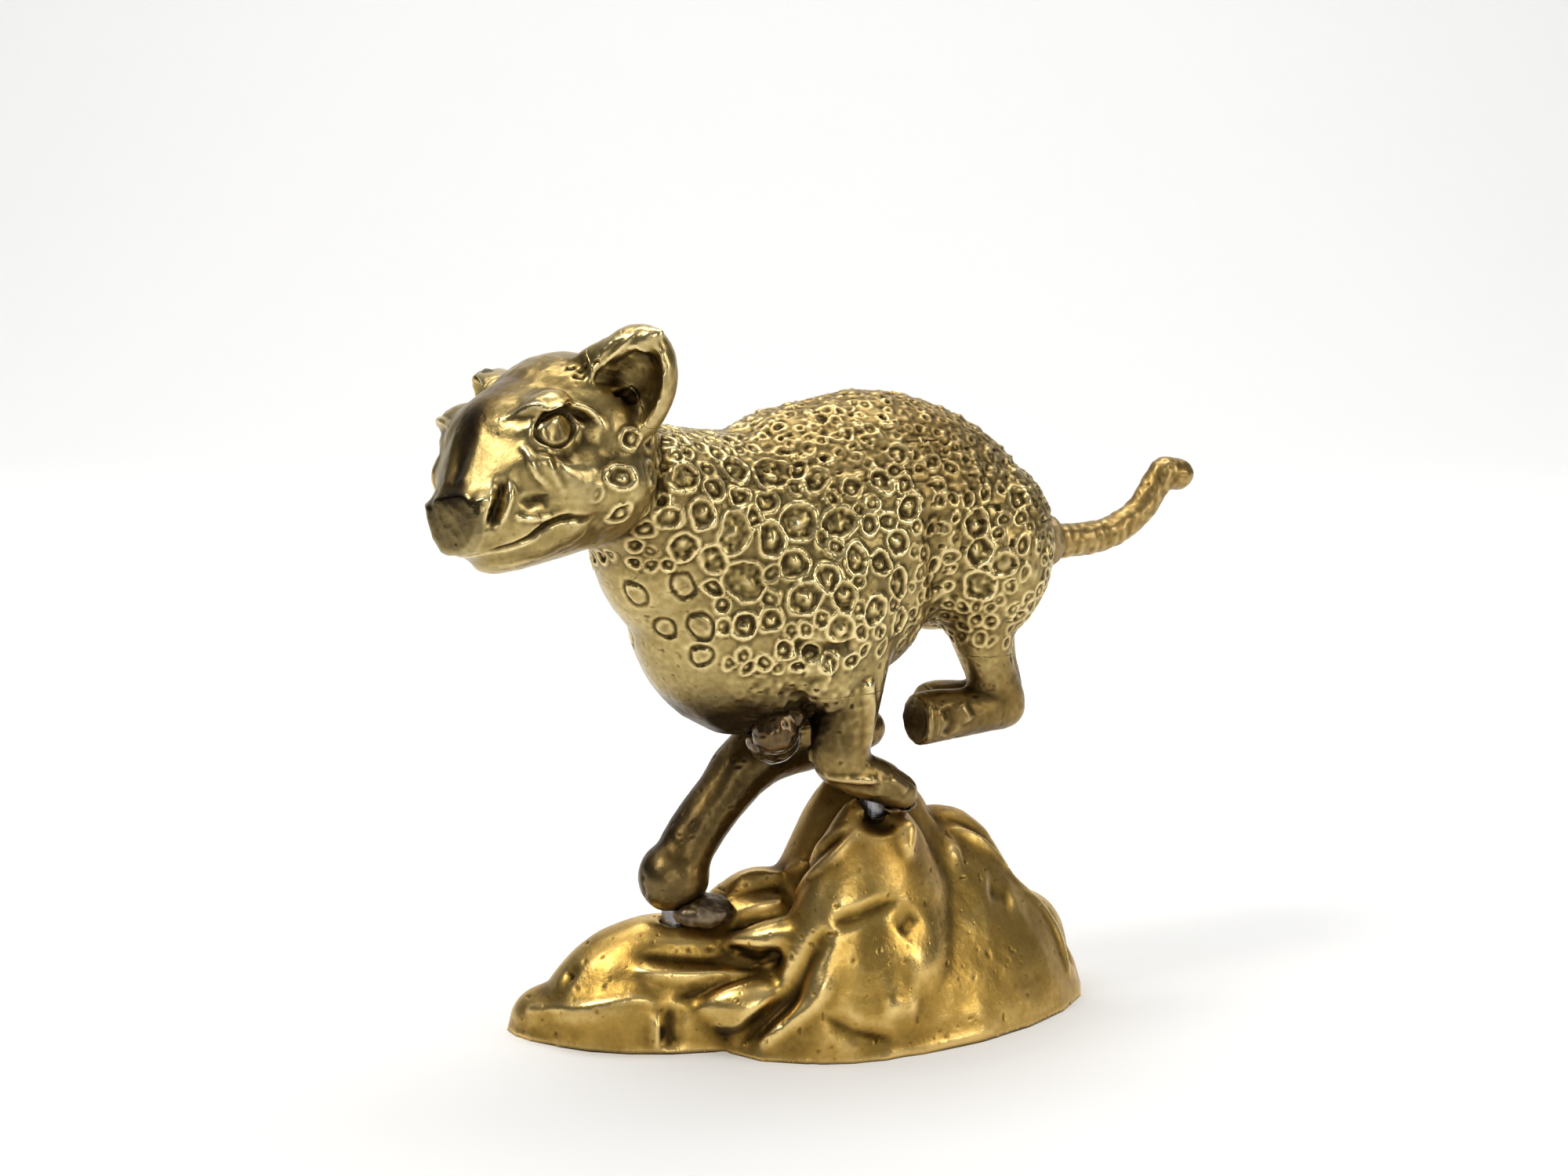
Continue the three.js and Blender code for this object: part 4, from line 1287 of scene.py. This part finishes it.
def make_lights():
    """Soft lamps over a dim room, and one for the white backdrop."""
    world = bpy.data.worlds.new("studio_air")
    world.use_nodes = True
    tree = world.node_tree
    place = tree.nodes.new("ShaderNodeTexCoord")
    split = tree.nodes.new("ShaderNodeSeparateXYZ")
    ramp = tree.nodes.new("ShaderNodeValToRGB")
    stops = ramp.color_ramp.elements
    stops[0].position, stops[0].color = 0.0, (0.05, 0.045, 0.04, 1)
    stops[1].position, stops[1].color = 0.9, (1.0, 1.0, 1.0, 1)
    middle = stops.new(0.45)
    middle.color = (0.16, 0.16, 0.165, 1)
    tree.links.new(place.outputs["Generated"], split.inputs[0])
    tree.links.new(split.outputs["Z"], ramp.inputs[0])
    tree.links.new(ramp.outputs[0], tree.nodes["Background"].inputs[0])
    tree.nodes["Background"].inputs[1].default_value = 0.45
    bpy.context.scene.world = world
    aim = (0, 0, 0.06)
    add_area_light("key", view_place(-0.55, -0.35, 0.75), aim, (0.24, 0.24), 3.7, (1, 0.97, 0.93))
    add_area_light("top", view_place(0.1, 0.15, 1.0), aim, (0.9, 0.5), 3.2)
    add_area_light("side", view_place(0.85, -0.35, 0.35), aim, (0.22, 0.45), 1.9, (1, 0.98, 0.95))
    add_area_light("front", view_place(0.1, -1.0, 0.3), aim, (0.5, 0.24), 1.7)
    add_area_light("paper", view_place(0, 0.4, 1.3), view_place(0, 1.3, 0.4), (2.0, 0.6), 15)
    bpy.context.scene.view_settings.view_transform = "Standard"


# ---------------------------------------------------------------- assembly


def make_cat():
    skin = cat_skin()
    carve_face(skin)
    carve_body(skin)
    carve_spots(skin)
    texture_body(skin)
    paint_cat(skin)
    brass = aged_brass("cat_brass", bright=(0.92, 0.75, 0.38), middle=(0.41, 0.305, 0.115),
                       dark=(0.050, 0.033, 0.010), rough=(0.23, 0.42))
    part_castings(skin, brass)


def make_rock():
    skin = rock_skin()
    paint_rock(skin)
    brass = aged_brass("rock_brass", bright=(0.96, 0.70, 0.27), middle=(0.48, 0.30, 0.070),
                       dark=(0.085, 0.044, 0.007), rough=(0.34, 0.50), patch=0.55)
    finish_piece(skin.obj, "rock_base_casting", brass)


def make_fillers():
    dark = filler_metal("burnt_braze", (0.15, 0.09, 0.032), (0.012, 0.008, 0.004), 0.85, (0.14, 0.36), 0.25)
    grey = filler_metal("grey_solder", (0.26, 0.20, 0.13), (0.06, 0.04, 0.018), 1.0, (0.34, 0.6))
    gold = filler_metal("brass_braze", (0.42, 0.31, 0.15), (0.09, 0.06, 0.03), 1.0, (0.35, 0.6))
    for node, name, metal, roughness, seed, lumps in (
        ("chest_braze_bead", "chest_bead", dark, 0.2, 81, BEAD_LUMPS),
        ("left_forepaw_braze", "left_paw_braze", dark, 0.3, 83, ()),
        ("right_forepaw_solder", "right_paw_solder", grey, 0.26, 85, ()),
        ("tail_root_braze", "tail_braze", gold, 0.1, 87, ()),
    ):
        finish_piece(sculpt_filler(node, roughness, seed, lumps), node, metal, name)


def finish_fixings():
    steel = turned_steel("fixing_steel")
    for stem in ("left_forepaw", "right_forepaw"):
        for kind in ("stud", "nut", "washer"):
            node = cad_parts[f"{stem}_{kind}"]
            node.data.materials.clear()
            node.data.materials.append(steel)


def keep_inside_cad_box():
    """Trims what stands a hair outside the CAD's own box."""
    low = np.array(cad_low) / MM - ORIGIN
    high = np.array(cad_high) / MM - ORIGIN
    for name in PIECES:
        mesh = bpy.data.objects[name].data
        write_points(mesh, np.clip(read_points(mesh), low, high))


make_stage()
make_camera()
make_lights()
make_cat()
make_rock()
make_fillers()
finish_fixings()
keep_inside_cad_box()
